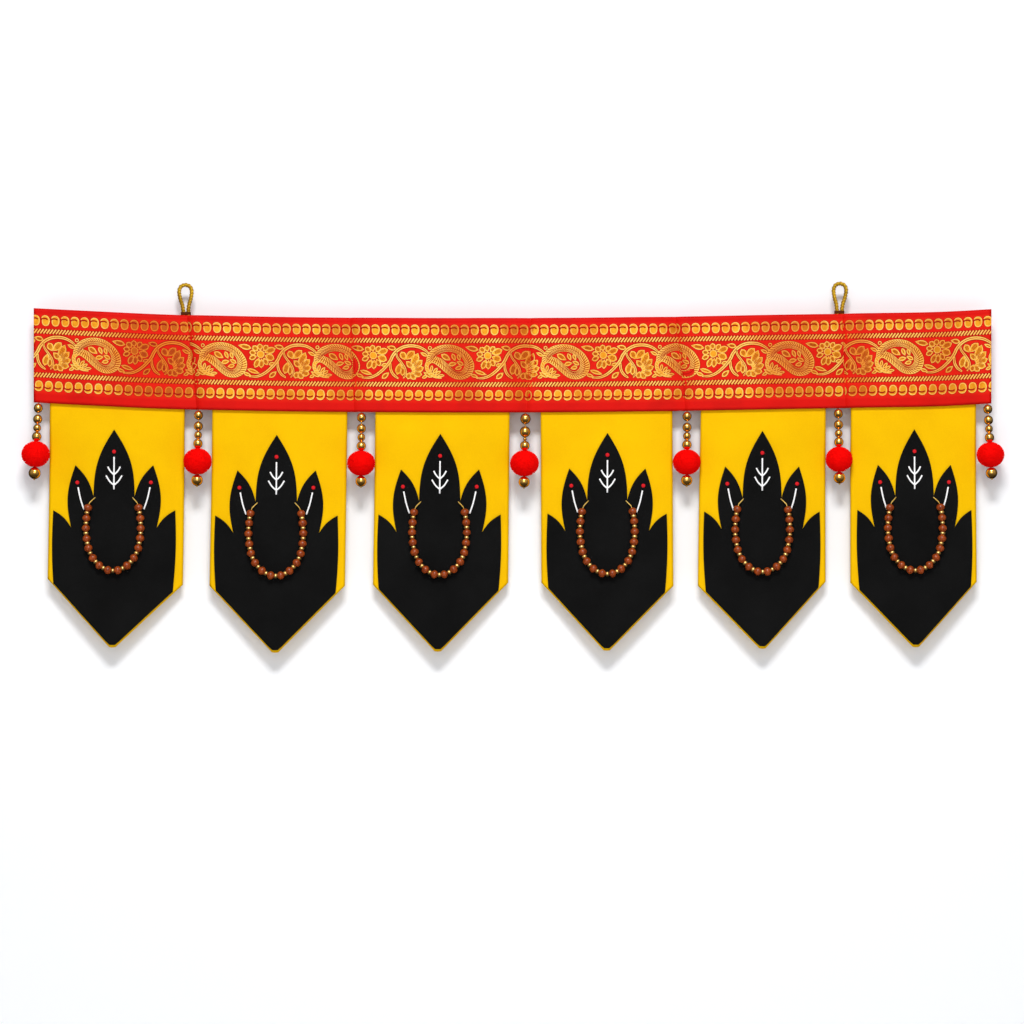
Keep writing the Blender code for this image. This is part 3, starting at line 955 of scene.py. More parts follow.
@dataclass(frozen=True)
class HeadingShape:
    """The heading's outline and hang, the same as the solid's."""

    width: float = 0.914
    height: float = 0.090
    thickness: float = 0.0024
    right_reach: float = 0.0035
    edge: Sequence[Pair] = (
        (-0.457, 0.0096), (-0.403, 0.0067), (-0.346, 0.0040), (-0.270, 0.0020), (-0.108, 0.0002),
        (0.007, 0.0000), (0.121, 0.0010), (0.236, 0.0028), (0.331, 0.0045), (0.408, 0.0060),
        (0.457, 0.0086),
    )
    tucks: Sequence[Tuck] = (
        Tuck(-0.3110, -0.3015, 0.0046, 0.030),
        Tuck(-0.1552, -0.1512, 0.0026, 0.012),
        Tuck(0.0174, 0.0136, 0.0030, 0.012),
        Tuck(0.1557, 0.1652, 0.0036, 0.014),
        Tuck(0.3150, 0.3178, 0.0040, 0.026),
    )
    waves: Sequence[tuple[float, float, float]] = ((0.0014, 0.310, 0.06), (0.0007, 0.127, 0.02))

    def top(self, across: np.ndarray | float) -> np.ndarray:
        """Gives the top edge's height at places across the heading."""
        across = np.asarray(across, float)
        places, heights = np.array(self.edge).T
        slopes = np.gradient(heights, places)
        i = np.clip(np.searchsorted(places, across) - 1, 0, len(places) - 2)
        span = places[i + 1] - places[i]
        t = (across - places[i]) / span
        rise = heights[i] * (1 + 2 * t) * (1 - t) ** 2 + heights[i + 1] * t**2 * (3 - 2 * t)
        return rise + span * (slopes[i] * t * (1 - t) ** 2 + slopes[i + 1] * t**2 * (t - 1))

    def low(self, across: np.ndarray | float) -> np.ndarray:
        """Gives the lower edge's height at places across the heading."""
        return self.top(across) - self.height

    def depth(self, across: np.ndarray | float, height: np.ndarray | float) -> np.ndarray:
        """Gives how far back the middle of the cloth lies.

        Args:
            across: Places along the heading.
            height: Their heights.

        Returns:
            Their places along Y.
        """
        across = np.asarray(across, float)
        share = np.clip((self.top(across) - height) / self.height, 0.0, 1.0)
        depth = sum(h * np.sin(2 * pi * (across - s) / length) for h, length, s in self.waves)
        for tuck in self.tucks:
            away = across - (tuck.top + (tuck.bottom - tuck.top) * share)
            reach = np.where(away < 0, tuck.reach, self.right_reach)
            depth = depth + tuck.depth * np.exp(-np.abs(away) / reach)
        return depth

    def front(self, across: np.ndarray, below: np.ndarray, proud: float = 0.0) -> np.ndarray:
        """Gives places on the face of the cloth.

        Args:
            across: Places along the heading.
            below: How far below the top edge they are.
            proud: How far in front of the cloth.

        Returns:
            A last axis of x, y and z.
        """
        height = self.top(across) - below
        depth = self.depth(across, height) - self.thickness / 2 - proud
        return np.stack([np.asarray(across, float) + 0 * below, depth, height], -1)


class Drawing:
    """Flat figures in millimetres, right and up from the middle of the heading's worked band."""

    def __init__(self) -> None:
        """Starts with nothing drawn."""
        self.points: list[Pair] = []
        self.faces: list[list[int]] = []

    def add(self, points: Iterable[Pair], faces: Iterable[Sequence[int]]) -> None:
        """Adds points and the faces between them, which count from the first of these."""
        count = len(self.points)
        self.points += [(float(u), float(v)) for u, v in points]
        self.faces += [[count + i for i in face] for face in faces]

    def between(self, first: np.ndarray, second: np.ndarray, closed: bool = False) -> None:
        """Fills the strip between two lines of as many points.

        Args:
            first: The points of one line.
            second: The points of the other.
            closed: Whether both lines come back to their starts.
        """
        n = len(first)
        faces = [[i, (i + 1) % n, n + (i + 1) % n, n + i] for i in range(n if closed else n - 1)]
        self.add(np.vstack([first, second]), faces)

    def stroke(
        self, route: np.ndarray, width: float, closed: bool = False, taper: float = 0.0
    ) -> None:
        """Draws a line of a width, which may narrow towards its ends.

        Args:
            route: The points along its middle.
            width: How wide it is.
            closed: Whether it comes back to its start.
            taper: How much narrower the ends are, from 0 to 1.
        """
        if closed:
            ahead = np.roll(route, -1, 0) - np.roll(route, 1, 0)
        else:
            ahead = np.gradient(route, axis=0)
        ahead /= np.linalg.norm(ahead, axis=1, keepdims=True)
        side = np.stack([-ahead[:, 1], ahead[:, 0]], 1)
        t = np.linspace(-1, 1, len(route))
        half = width / 2 * (np.ones(len(route)) if closed else 1 - taper * np.abs(t) ** 3)
        self.between(route + side * half[:, None], route - side * half[:, None], closed)

    def area(self, outline: np.ndarray) -> None:
        """Fills a shape that can be seen whole from its middle."""
        middle = outline.mean(0)
        n = len(outline)
        self.add(np.vstack([outline, middle]), [[i, (i + 1) % n, n] for i in range(n)])


def leaf_outline(foot: Pair, tip: Pair, width: float, steps: int = 5) -> np.ndarray:
    """Gives the outline of a leaf or petal that is widest past its middle.

    Args:
        foot: Where it grows from.
        tip: Its end.
        width: How wide it is.
        steps: Points on each side.

    Returns:
        The points around it.
    """
    start, end = np.array(foot, float), np.array(tip, float)
    along = end - start
    side = np.array([-along[1], along[0]]) / np.linalg.norm(along)
    t = np.linspace(0, 1, steps + 1)
    swell = np.sin(pi * t**1.25) ** 0.8 * width / 2
    right = start + np.outer(t, along) + np.outer(swell, side)
    left = start + np.outer(t, along) - np.outer(swell, side)
    return np.vstack([right[:-1], left[:0:-1]])


@dataclass(frozen=True)
class Leaf:
    """A leaf or petal of a figure, in millimetres."""

    foot: Pair
    tip: Pair
    width: float


class Layer(Enum):
    """What the heading's figures are woven in, and how far each stands out of the cloth."""

    RIMS = "woven_rims"
    FILLS = "zari_fills"
    LINES = "zari_lines"
    VEINS = "woven_veins"


# The rims are dark weft drawn round the gold: the weave's dark outline and a painted shadow of the
# raised gold at once.
WOVEN: dict[Layer, tuple[float, Finish]] = {
    Layer.RIMS: (0.04 * MM, SHADED_WEFT),
    Layer.FILLS: (0.10 * MM, ZARI_FILL),
    Layer.LINES: (0.17 * MM, ZARI_FLOAT),
    Layer.VEINS: (0.22 * MM, SHADED_WEFT),
}


class Figure:
    """A figure drawn in the four layers."""

    def __init__(self, rim: float = 1.7, line: float = 0.8, vein: float = 0.45) -> None:
        """Starts an empty figure.

        Args:
            rim: How wide the dark rims, painted shadow of the raised gold, are drawn under the
                bright lines.
            line: How wide the bright outlines are.
            vein: How wide the dark veins are.
        """
        self.layers = {layer: Drawing() for layer in Layer}
        self.rim, self.line, self.vein = rim, line, vein

    def line_along(
        self, route: np.ndarray, width: float, closed: bool = False, taper: float = 0.0
    ) -> None:
        """Draws a bright line over a dark rim of painted shadow. See Drawing.stroke for Args."""
        self.layers[Layer.RIMS].stroke(route, width + self.rim - self.line, closed, taper)
        self.layers[Layer.LINES].stroke(route, width, closed, taper)

    def vein_along(self, route: np.ndarray, width: float) -> None:
        """Draws a dark line on top."""
        self.layers[Layer.VEINS].stroke(route, width)

    def leaf(self, leaf: Leaf) -> None:
        """Draws a filled leaf with a bright outline and dark veins."""
        outline = leaf_outline(leaf.foot, leaf.tip, leaf.width)
        self.layers[Layer.FILLS].area(outline)
        self.line_along(outline, self.line, closed=True)
        foot, tip = np.array(leaf.foot, float), np.array(leaf.tip, float)
        along = tip - foot
        side = np.array([-along[1], along[0]]) / np.linalg.norm(along) * leaf.width
        starts = (0.0,) if leaf.width < 4 else (-0.17, 0.0, 0.17)
        for offset in starts:
            self.vein_along(
                np.array([foot + along * 0.30, foot + along * 0.80]) + side * offset, self.vein
            )


@dataclass
class VinePattern:
    """One repeat of the worked band: a large paisley, a daisy, and a vine round a palmette.

    Each figure is drawn from the repeat's left end and the middle of the band.
    """

    paisley: Outline = (
        (1.6, 1.2), (3.6, 7.8), (8.8, 13.0), (16.0, 15.8), (24.5, 16.2), (33.0, 13.8),
        (41.0, 7.8), (46.0, -0.6), (45.8, -8.0), (41.6, -13.6), (34.5, -16.0), (27.0, -14.6),
        (20.4, -9.8), (14.2, -4.4), (9.0, -0.6), (4.6, 0.4),
    )
    centre: Outline = (
        (9.8, 5.6), (15.0, 9.2), (21.8, 10.6), (29.0, 9.2), (34.8, 5.4), (38.0, 0.0),
        (37.6, -5.4), (34.4, -9.0), (30.0, -9.2), (25.6, -6.2), (20.8, -1.4), (15.4, 3.0),
    )
    tail_outside: Outline = (
        (3.6, 3.2), (0.6, -1.6), (0.6, -6.8), (3.8, -11.6), (9.2, -14.6), (15.8, -15.4),
    )
    tail_inside: Outline = (
        (6.4, -0.2), (3.6, -2.6), (3.4, -6.2), (6.2, -9.8), (10.8, -12.8), (15.8, -14.6),
    )
    ring_points: int = 96
    hatch_width: float = 0.85
    sprig: Sequence[Leaf] = (
        Leaf((24.2, 2.0), (15.8, 7.4), 4.8), Leaf((28.8, 1.6), (26.0, 8.0), 3.2),
        Leaf((33.4, 1.6), (31.2, 7.2), 2.8), Leaf((30.0, -1.0), (22.8, -2.4), 3.6),
        Leaf((30.6, 0.6), (36.6, -2.6), 3.2), Leaf((28.8, -6.2), (34.8, -4.8), 3.4),
    )
    crook: Sequence[Leaf] = (
        Leaf((5.4, -9.8), (6.8, -3.2), 2.4), Leaf((7.4, -11.0), (11.8, -5.6), 2.6),
        Leaf((9.6, -12.0), (14.8, -8.6), 2.4), Leaf((12.0, -13.0), (18.4, -12.6), 2.0),
    )
    petals: Sequence[Leaf] = (
        Leaf((57.0, 9.4), (52.6, 13.8), 5.0), Leaf((59.6, 10.2), (58.8, 16.0), 4.8),
        Leaf((62.4, 9.6), (66.4, 14.8), 4.8), Leaf((55.6, 7.0), (49.4, 8.0), 4.4),
        Leaf((55.8, 4.4), (49.2, 1.8), 4.2), Leaf((63.6, 8.0), (73.6, 11.8), 5.8),
        Leaf((64.0, 5.2), (72.4, 1.8), 6.4), Leaf((58.4, 2.4), (54.4, -6.4), 4.8),
        Leaf((60.8, 1.8), (60.2, -6.6), 4.6), Leaf((62.8, 2.6), (66.2, -3.6), 4.4),
    )
    eye: Pair = (59.8, 6.2)
    eye_radius: float = 3.3
    stem: Outline = (
        (49.0, -15.0), (56.0, -15.0), (63.0, -12.2), (70.0, -6.4), (75.6, 0.4), (78.4, 6.0),
        (82.6, 11.0), (88.6, 14.4), (95.6, 15.6), (103.0, 14.6), (109.0, 11.6), (112.6, 8.4),
    )
    runner: Outline = ((76.2, -1.0), (76.4, -6.8), (79.0, -12.0), (83.6, -15.6))
    curl: Outline = (
        (81.6, 10.4), (82.6, 5.0), (86.6, -0.6), (90.0, -6.0), (90.8, -11.6), (88.4, -15.4),
    )
    leaves: Sequence[Leaf] = (
        Leaf((38.8, 14.4), (50.8, 11.8), 4.6), Leaf((73.0, 14.4), (81.4, 12.6), 4.0),
        Leaf((74.6, -10.2), (68.2, -15.6), 4.0), Leaf((58.6, -12.0), (47.4, -8.2), 3.2),
        Leaf((50.4, -14.2), (44.0, -12.0), 2.8), Leaf((73.6, -1.8), (67.6, -3.4), 2.6),
        Leaf((107.8, -9.6), (115.4, -14.4), 2.8), Leaf((106.4, -15.0), (110.8, -13.2), 2.6),
        Leaf((105.0, 9.0), (111.4, 6.0), 2.6),
    )
    palmette: Sequence[Leaf] = (
        Leaf((85.8, -0.8), (82.6, -11.8), 5.8), Leaf((88.0, -4.0), (87.6, -13.0), 4.0),
        Leaf((90.2, 2.4), (86.6, 9.6), 5.8), Leaf((91.2, 2.6), (98.8, 10.4), 6.4),
        Leaf((91.4, 0.6), (97.0, -4.8), 5.2), Leaf((95.8, -6.4), (102.4, 8.4), 6.6),
        Leaf((96.4, -7.2), (106.4, 1.8), 6.4), Leaf((96.6, -8.4), (107.8, -5.2), 6.4),
        Leaf((96.4, -9.6), (106.0, -12.0), 6.2), Leaf((95.6, -10.2), (99.8, -16.2), 5.8),
        Leaf((94.4, -10.0), (92.8, -16.0), 4.8),
    )
    dot: Pair = (113.8, 13.6)

    def draw(self) -> Figure:
        """Draws one repeat."""
        figure = Figure()
        self.draw_paisley(figure)
        for route, width in ((self.stem, 3.0), (self.runner, 2.5), (self.curl, 2.1)):
            middle = smooth_line(route, 5)
            figure.layers[Layer.RIMS].stroke(middle, width + 1.6, taper=0.4)
            figure.layers[Layer.LINES].stroke(middle, width, taper=0.5)
            figure.vein_along(middle[1:-1], 0.5)
        for leaf in (*self.leaves, *self.palmette, *self.petals):
            figure.leaf(leaf)
        angles = np.arange(12) * 2 * pi / 12
        circle = np.stack([np.cos(angles), np.sin(angles)], 1)
        eye = circle * self.eye_radius + self.eye
        figure.layers[Layer.FILLS].area(eye)
        figure.line_along(eye, figure.line, closed=True)
        figure.line_along(circle * 1.45 + self.dot, figure.line, closed=True)
        return figure

    def draw_paisley(self, figure: Figure) -> None:
        """Draws the large paisley: a hatched border round a sprig, and a tail round a spray."""
        lines, fills = figure.layers[Layer.LINES], figure.layers[Layer.FILLS]
        count = self.ring_points
        outside = evenly(smooth_line(self.paisley, 6, closed=True), count, closed=True)
        inside = evenly(smooth_line(self.centre, 6, closed=True), count, closed=True)
        fills.between(outside, inside, closed=True)
        figure.line_along(outside[::2], 1.0, closed=True)
        figure.line_along(inside[::2], 0.8, closed=True)
        for i in range(0, count, 2):
            slant = (i + 3) % count
            lines.stroke(np.array([outside[i], inside[slant]]), self.hatch_width)
            gap = np.array([outside[(i + 1) % count], inside[(slant + 1) % count]])
            figure.vein_along(gap, 0.5)
        middle = (outside * 0.52 + inside * 0.48)[::2]
        figure.vein_along(np.vstack([middle, middle[:1]]), 0.4)
        tail_out = evenly(smooth_line(self.tail_outside, 5), 20)
        tail_in = evenly(smooth_line(self.tail_inside, 5), 20)
        fills.between(tail_out, tail_in)
        figure.line_along(tail_out, 0.9, taper=0.3)
        figure.line_along(tail_in, 0.7, taper=0.3)
        for i in range(2, 18, 2):
            lines.stroke(np.array([tail_out[i], tail_in[i + 1]]), 0.8)
        for leaf in (*self.sprig, *self.crook):
            figure.leaf(leaf)


@dataclass
class CommaPattern:
    """The small paisley of the two outer rows: a round body under a cap that curls over it."""

    body: Outline = (
        (-3.5, -1.2), (-2.5, -4.1), (0.0, -5.1), (2.7, -4.0), (3.8, -0.8), (3.5, 2.4), (1.9, 4.5),
        (-0.6, 5.1), (-2.8, 4.4), (-3.9, 2.9), (-3.2, 1.3),
    )
    slit: Outline = ((-4.9, 0.9), (-2.6, 1.9), (0.3, 2.1), (1.9, 1.0))

    def draw(self, upright: bool) -> Figure:
        """Draws one figure.

        Args:
            upright: Whether the cap is at the top, as in the upper row.

        Returns:
            The figure.
        """
        figure = Figure(rim=1.5)
        turn = np.array([1.0, 1.0 if upright else -1.0])
        outline = smooth_line(self.body, 2, closed=True) * turn * 0.91
        figure.layers[Layer.FILLS].area(outline)
        figure.line_along(outline, 0.95, closed=True)
        figure.vein_along(smooth_line(self.slit, 2) * turn, 1.35)
        return figure


@dataclass(frozen=True)
class Panel:
    """The heading between two tucks: where its large paisley and small figures start."""

    paisley: float
    commas: float


@dataclass
class Heading:
    """The woven heading with its five tucks, and the gold figures woven into it."""

    shape: HeadingShape = field(default_factory=HeadingShape)
    vine: VinePattern = field(default_factory=VinePattern)
    comma: CommaPattern = field(default_factory=CommaPattern)
    column: float = 3.0 * MM
    rows: int = 30
    repeat: float = 109.1 * MM
    upper_commas: float = 11.4 * MM
    upper_rope: float = 21.6 * MM
    band: float = 42.2 * MM
    lower_rope: float = 63.4 * MM
    lower_commas: float = 73.8 * MM
    comma_pitch: float = 9.45 * MM
    rope_pitch: float = 3.0 * MM
    root: float = 0.25 * MM
    join: float = -312.3 * MM
    panels: Sequence[Panel] = (
        Panel(-420.2 * MM, -455.0 * MM),
        Panel(-300.0 * MM, -300.6 * MM),
        Panel(-83.5 * MM, -149.5 * MM),
        Panel(26.8 * MM, 21.0 * MM),
        Panel(240.9 * MM, 165.5 * MM),
        Panel(345.4 * MM, 321.5 * MM),
    )
    # Zones of painted shade on the gold: each a middle along the heading, a reach and a strength.
    dull: Sequence[tuple[float, float, float]] = (
        (-0.340, 0.042, 0.95), (-0.217, 0.022, 0.35), (-0.160, 0.020, 0.60),
        (-0.048, 0.017, 0.70), (0.006, 0.014, 0.80), (0.070, 0.018, 0.30), (0.160, 0.013, 0.55),
        (0.265, 0.034, 0.65), (0.328, 0.015, 0.80), (0.408, 0.018, 0.45),
    )

    def columns(self) -> np.ndarray:
        """Gives the places of the columns at mid height, with one on each tuck."""
        shape = self.shape
        half = shape.width / 2
        creases = [(t.top + t.bottom) / 2 for t in shape.tucks]
        near = [c + away * MM for c in creases for away in (-2, -1, -0.4, 0, 0.4, 1, 2, 3.5, 6)]
        even = np.linspace(-half, half, round(shape.width / self.column) + 1)
        clear = [a for a in even if min(abs(a - n) for n in near) > 0.9 * MM]
        return np.array(sorted([*clear, *near]))

    def cloth(self) -> bpy.types.Object:
        """Makes the folded strip itself."""
        shape = self.shape
        columns = self.columns()
        half = shape.width / 2
        middles = [-half, *[(t.top + t.bottom) / 2 for t in shape.tucks], half]
        slants = [0.0, *[t.bottom - t.top for t in shape.tucks], 0.0]
        share = np.linspace(0, 1, self.rows + 1)[:, None]
        across = columns[None, :] + np.interp(columns, middles, slants)[None, :] * (share - 0.5)
        below = share * shape.height + 0 * across
        front = shape.front(across, below)
        flat = np.stack([across, below], -1)
        return cloth_sheet("heading_cloth", front, shape.thickness, flat, BORDER_SATIN)

    def repeats(self, start: float, left: float, right: float, pitch: float) -> np.ndarray:
        """Gives the places of a repeat between two ends, from one that is known.

        Args:
            start: The known place.
            left: The left end.
            right: The right end.
            pitch: How far apart the repeats are.

        Returns:
            The places, with one or two past each end.
        """
        first = np.floor((left - start) / pitch) - 1
        last = np.ceil((right - start) / pitch) + 1
        return start + np.arange(first, last + 1) * pitch

    def row(
        self, tree: PathTree, drawing: Drawing, places: np.ndarray, below: float, finish: Finish
    ) -> bpy.types.Mesh:
        """Sets a small figure at places along the flat cloth.

        Args:
            tree: The tree that sets pieces on a path.
            drawing: The figure.
            places: Where the figures go, along the heading.
            below: How far below the top edge.
            finish: What they are made of.

        Returns:
            A flat mesh in metres, along X and up Z.
        """
        mesh = bpy.data.meshes.new("figure")
        mesh.from_pydata([(u * MM, 0.0, v * MM) for u, v in drawing.points], [], drawing.faces)
        line = np.stack([places, 0 * places, 0 * places - below], 1)
        made = tree.place("row", object_of("figure", mesh), line, finish, Follow=False)
        flat = made.data
        bpy.data.objects.remove(made)
        return flat

    def turned(self, across: np.ndarray, below: np.ndarray) -> np.ndarray:
        """Gives how much painted shade the metallic yarn gets, from 0 to 1, by the zones in dull.

        Args:
            across: Places along the heading.
            below: How far below the top edge they are.

        Returns:
            A share for each place. Where it is high the yarn is painted darker and less metallic.
        """
        across = across - 0.08 * (below - self.band)
        return np.max(
            [s * np.exp(-np.abs((across - middle) / reach) ** 4) for middle, reach, s in self.dull],
            axis=0,
        )

    def woven_in(
        self, layer: Layer, flat_by_panel: Sequence[bmesh.types.BMesh]
    ) -> bpy.types.Object:
        """Cuts each panel's flat figures at its tucks and lays them on the cloth.

        Args:
            layer: Which layer of the figures these are.
            flat_by_panel: The flat figures, one mesh for each panel.

        Returns:
            The object, with every figure closed all round.
        """
        shape = self.shape
        proud, finish = WOVEN[layer]
        ends = [-shape.width / 2, *shape.tucks, shape.width / 2]
        merged = bmesh.new()
        for flat, left, right in zip(flat_by_panel, ends, ends[1:]):
            for end, sign in ((left, -1), (right, 1)):
                top, bottom = (end.top, end.bottom) if isinstance(end, Tuck) else (end, end)
                down = Vector((bottom - top, 0.0, -shape.height)).normalized()
                normal = Vector((-down.z, 0.0, down.x)) * sign
                bmesh.ops.bisect_plane(
                    flat,
                    geom=[*flat.verts, *flat.edges, *flat.faces],
                    plane_co=Vector((top, 0.0, 0.0)) - normal * 0.15 * MM,
                    plane_no=normal,
                    clear_outer=True,
                )
            part = mesh_of("part", flat)
            merged.from_mesh(part)
            bpy.data.meshes.remove(part)
        low_faces = list(merged.faces)
        bmesh.ops.extrude_face_region(merged, geom=low_faces, use_keep_orig=True)
        low = {vertex for face in low_faces for vertex in face.verts}
        places = np.array([vertex.co[:] for vertex in merged.verts])
        lift = np.array([-self.root if vertex in low else proud for vertex in merged.verts])
        laid = shape.front(places[:, 0], -places[:, 2])
        laid[:, 1] -= lift
        for vertex, place in zip(merged.verts, laid):
            vertex.co = place
        bmesh.ops.recalc_face_normals(merged, faces=merged.faces)
        mesh = mesh_of(layer.value, merged)
        # The "turned" attribute carries the painted shade of the gold to its material.
        share = mesh.attributes.new("turned", "FLOAT", "POINT")
        share.data.foreach_set("value", self.turned(places[:, 0], -places[:, 2]))
        mesh.materials.clear()
        mesh.materials.append(finish.material())
        mesh.polygons.foreach_set("material_index", np.zeros(len(mesh.polygons), int))
        return object_of(layer.value, mesh)

    def rope(self) -> Figure:
        """Draws one slanting stroke of the rope lines, on its dark strip."""
        figure = Figure()
        half = self.rope_pitch / MM / 2 + 0.02
        figure.layers[Layer.RIMS].stroke(np.array([(-half, 0.0), (half, 0.0)]), 5.2)
        figure.layers[Layer.LINES].stroke(np.array([(-1.6, -2.1), (1.6, 2.1)]), 1.25)
        return figure

    def dashes(self) -> Figure:
        """Draws the column of dashes where two lengths of the border are joined."""
        figure = Figure()
        for up in np.arange(12.5, 37.0, 2.7):
            figure.line_along(np.array([(0.0, up), (0.0, up + 1.5)]), 0.8)
        return figure

    def rows_of(self, panel: Panel, left: float, right: float) -> list:
        """Gives the rows of figures of a panel.

        Args:
            panel: Where its figures start.
            left: The tuck or end on its left.
            right: The one on its right.

        Returns:
            For each row its figure, the figure's places and how far down it is.
        """
        commas = self.repeats(panel.commas, left, right, self.comma_pitch)
        lower = self.repeats(panel.commas + 3 * MM, left, right, self.comma_pitch * 1.01)
        ropes = self.repeats(panel.commas, left, right, self.rope_pitch)
        rows = [
            (self.vine.draw(), self.repeats(panel.paisley, left, right, self.repeat), self.band),
            (self.comma.draw(upright=True), commas, self.upper_commas),
            (self.comma.draw(upright=False), lower, self.lower_commas),
            (self.rope(), ropes, self.upper_rope),
            (self.rope(), ropes, self.lower_rope),
        ]
        if left < self.join < right:
            rows.append((self.dashes(), np.array([self.join]), self.band))
        return rows

    def zari(self, tree: PathTree) -> list[bpy.types.Object]:
        """Makes the woven figures.

        Args:
            tree: The tree that sets pieces on a path.

        Returns:
            A piece for each layer.
        """
        shape = self.shape
        ends = [-shape.width / 2, *[(t.top + t.bottom) / 2 for t in shape.tucks], shape.width / 2]
        panels = [
            self.rows_of(panel, left, right)
            for panel, left, right in zip(self.panels, ends, ends[1:])
        ]
        made = []
        for layer in Layer:
            flats = []
            for rows in panels:
                flat = bmesh.new()
                for figure, places, below in rows:
                    drawing = figure.layers[layer]
                    if drawing.faces:
                        mesh = self.row(tree, drawing, places, below, WOVEN[layer][1])
                        flat.from_mesh(mesh)
                        bpy.data.meshes.remove(mesh)
                flats.append(flat)
            made.append(self.woven_in(layer, flats))
        return made

    def build(self, tree: PathTree) -> bpy.types.Object:
        """Builds the heading and its figures.

        Args:
            tree: The tree that sets pieces on a path.

        Returns:
            The cloth, which carries the figures.
        """
        cloth = piece_done(self.cloth(), Slot.BORDER, "heading")
        figures = [piece_done(piece, Slot.BORDER) for piece in self.zari(tree)]
        return cloth


@dataclass
class Pennant:
    """A pointed pennant of yellow cloth, with its black lotus and bead swag."""

    number: int
    left: float
    right: float
    corner_left: float
    corner_right: float
    drop_left: float
    drop_right: float
    tip: float
    tip_drop: float
    bow: float
    lean: float
    twist: float
    heading: HeadingShape
    thickness: float = 0.0018
    overlap: float = 0.012
    blend_drop: float = 0.060
    point_flat: float = 0.0060
    gap: float = 0.0003
    side_columns: int = 22
    rows: int = 60
    ripple: float = 0.00022

    def edges(self, height: np.ndarray) -> tuple[np.ndarray, np.ndarray]:
        """Gives the middle of the pennant and half its width.

        Args:
            height: Where along Z.

        Returns:
            The middle's places along X, and the half widths.
        """
        top_left = self.heading.low(self.left)
        share = (top_left - height) / (top_left + self.drop_left)
        left = self.left + (self.corner_left - self.left) * share
        right = self.right + (self.corner_right - self.right) * share
        return (left + right) / 2, (right - left) / 2

    def depth(self, across: np.ndarray, height: np.ndarray) -> np.ndarray:
        """Gives how far back the middle of the cloth lies.

        Args:
            across: Places along X.
            height: Their heights.

        Returns:
            Their places along Y.
        """
        across, height = np.asarray(across, float), np.asarray(height, float)
        middle, half = self.edges(height)
        side = (across - middle) / half
        edge = self.heading.low(across)
        blend = np.clip((edge - height) / self.blend_drop, 0, 1)
        blend = blend * blend * (3 - 2 * blend)
        down = np.maximum(0.0, (edge - height) / (edge + self.tip_drop))
        hang = self.bow * side**2 + self.lean * np.sin(pi * down) + self.twist * side * down
        hang = hang + self.ripple * np.sin(across * 190 + self.number) * np.sin(pi * down) ** 2
        sewn = self.heading.thickness / 2 + self.gap + self.thickness / 2
        pinned = self.heading.depth(across, np.maximum(height, edge))
        return pinned * (1 - blend) + hang * blend + sewn

    def shares(self) -> tuple[np.ndarray, int, int]:
        """Gives how far across the columns run, and which two end the blunt point."""
        width = self.corner_right - self.corner_left
        point = (self.tip - self.corner_left) / width
        blunt = self.point_flat / 2 / width
        left = np.linspace(0.0, point - blunt, self.side_columns + 1)
        right = np.linspace(point + blunt, 1.0, self.side_columns + 1)
        return np.concatenate([left, [point], right]), self.side_columns, self.side_columns + 2

    def low_edge(self, shares: np.ndarray, first: int, last: int) -> np.ndarray:
        """Gives the height of the two slanting edges and the blunt point between them.

        Args:
            shares: How far across each column is.
            first: The column that ends the left edge.
            last: The column that starts the right edge.

        Returns:
            The height of each column's lower end.
        """
        left_slant = np.clip(shares / shares[first], 0, 1)
        right_slant = np.clip((1 - shares) / (1 - shares[last]), 0, 1)
        left = self.drop_left + (self.tip_drop - self.drop_left) * left_slant
        right = self.drop_right + (self.tip_drop - self.drop_right) * right_slant
        order = np.arange(len(shares))
        blunt = np.where(order >= last, right, self.tip_drop + 0.0004)
        return -np.where(order <= first, left, blunt)

    def cloth(self) -> bpy.types.Object:
        """Makes the yellow cloth."""
        shares, first, last = self.shares()
        top_across = self.left + (self.right - self.left) * shares
        top = self.heading.low(top_across) + self.overlap
        low_across = self.corner_left + (self.corner_right - self.corner_left) * shares
        low = self.low_edge(shares, first, last)
        down = np.linspace(0, 1, self.rows + 1)[:, None]
        across = top_across + (low_across - top_across) * down
        height = top + (low - top) * down
        depth = self.depth(across, height) - self.thickness / 2
        front = np.stack([across, depth, height], -1)
        flat = np.stack([across, height], -1)
        name = f"pennant_cloth_{self.number}"
        return cloth_sheet(name, front, self.thickness, flat, YELLOW_COTTON)

    def flat_area(self) -> float:
        """Gives the area that the cloth was cut to."""
        width = self.right - self.left
        straight = (self.drop_left + self.drop_right) / 2 - 0.090 + self.overlap
        point = self.tip_drop - (self.drop_left + self.drop_right) / 2
        return width * straight + point * (width + self.point_flat) / 2


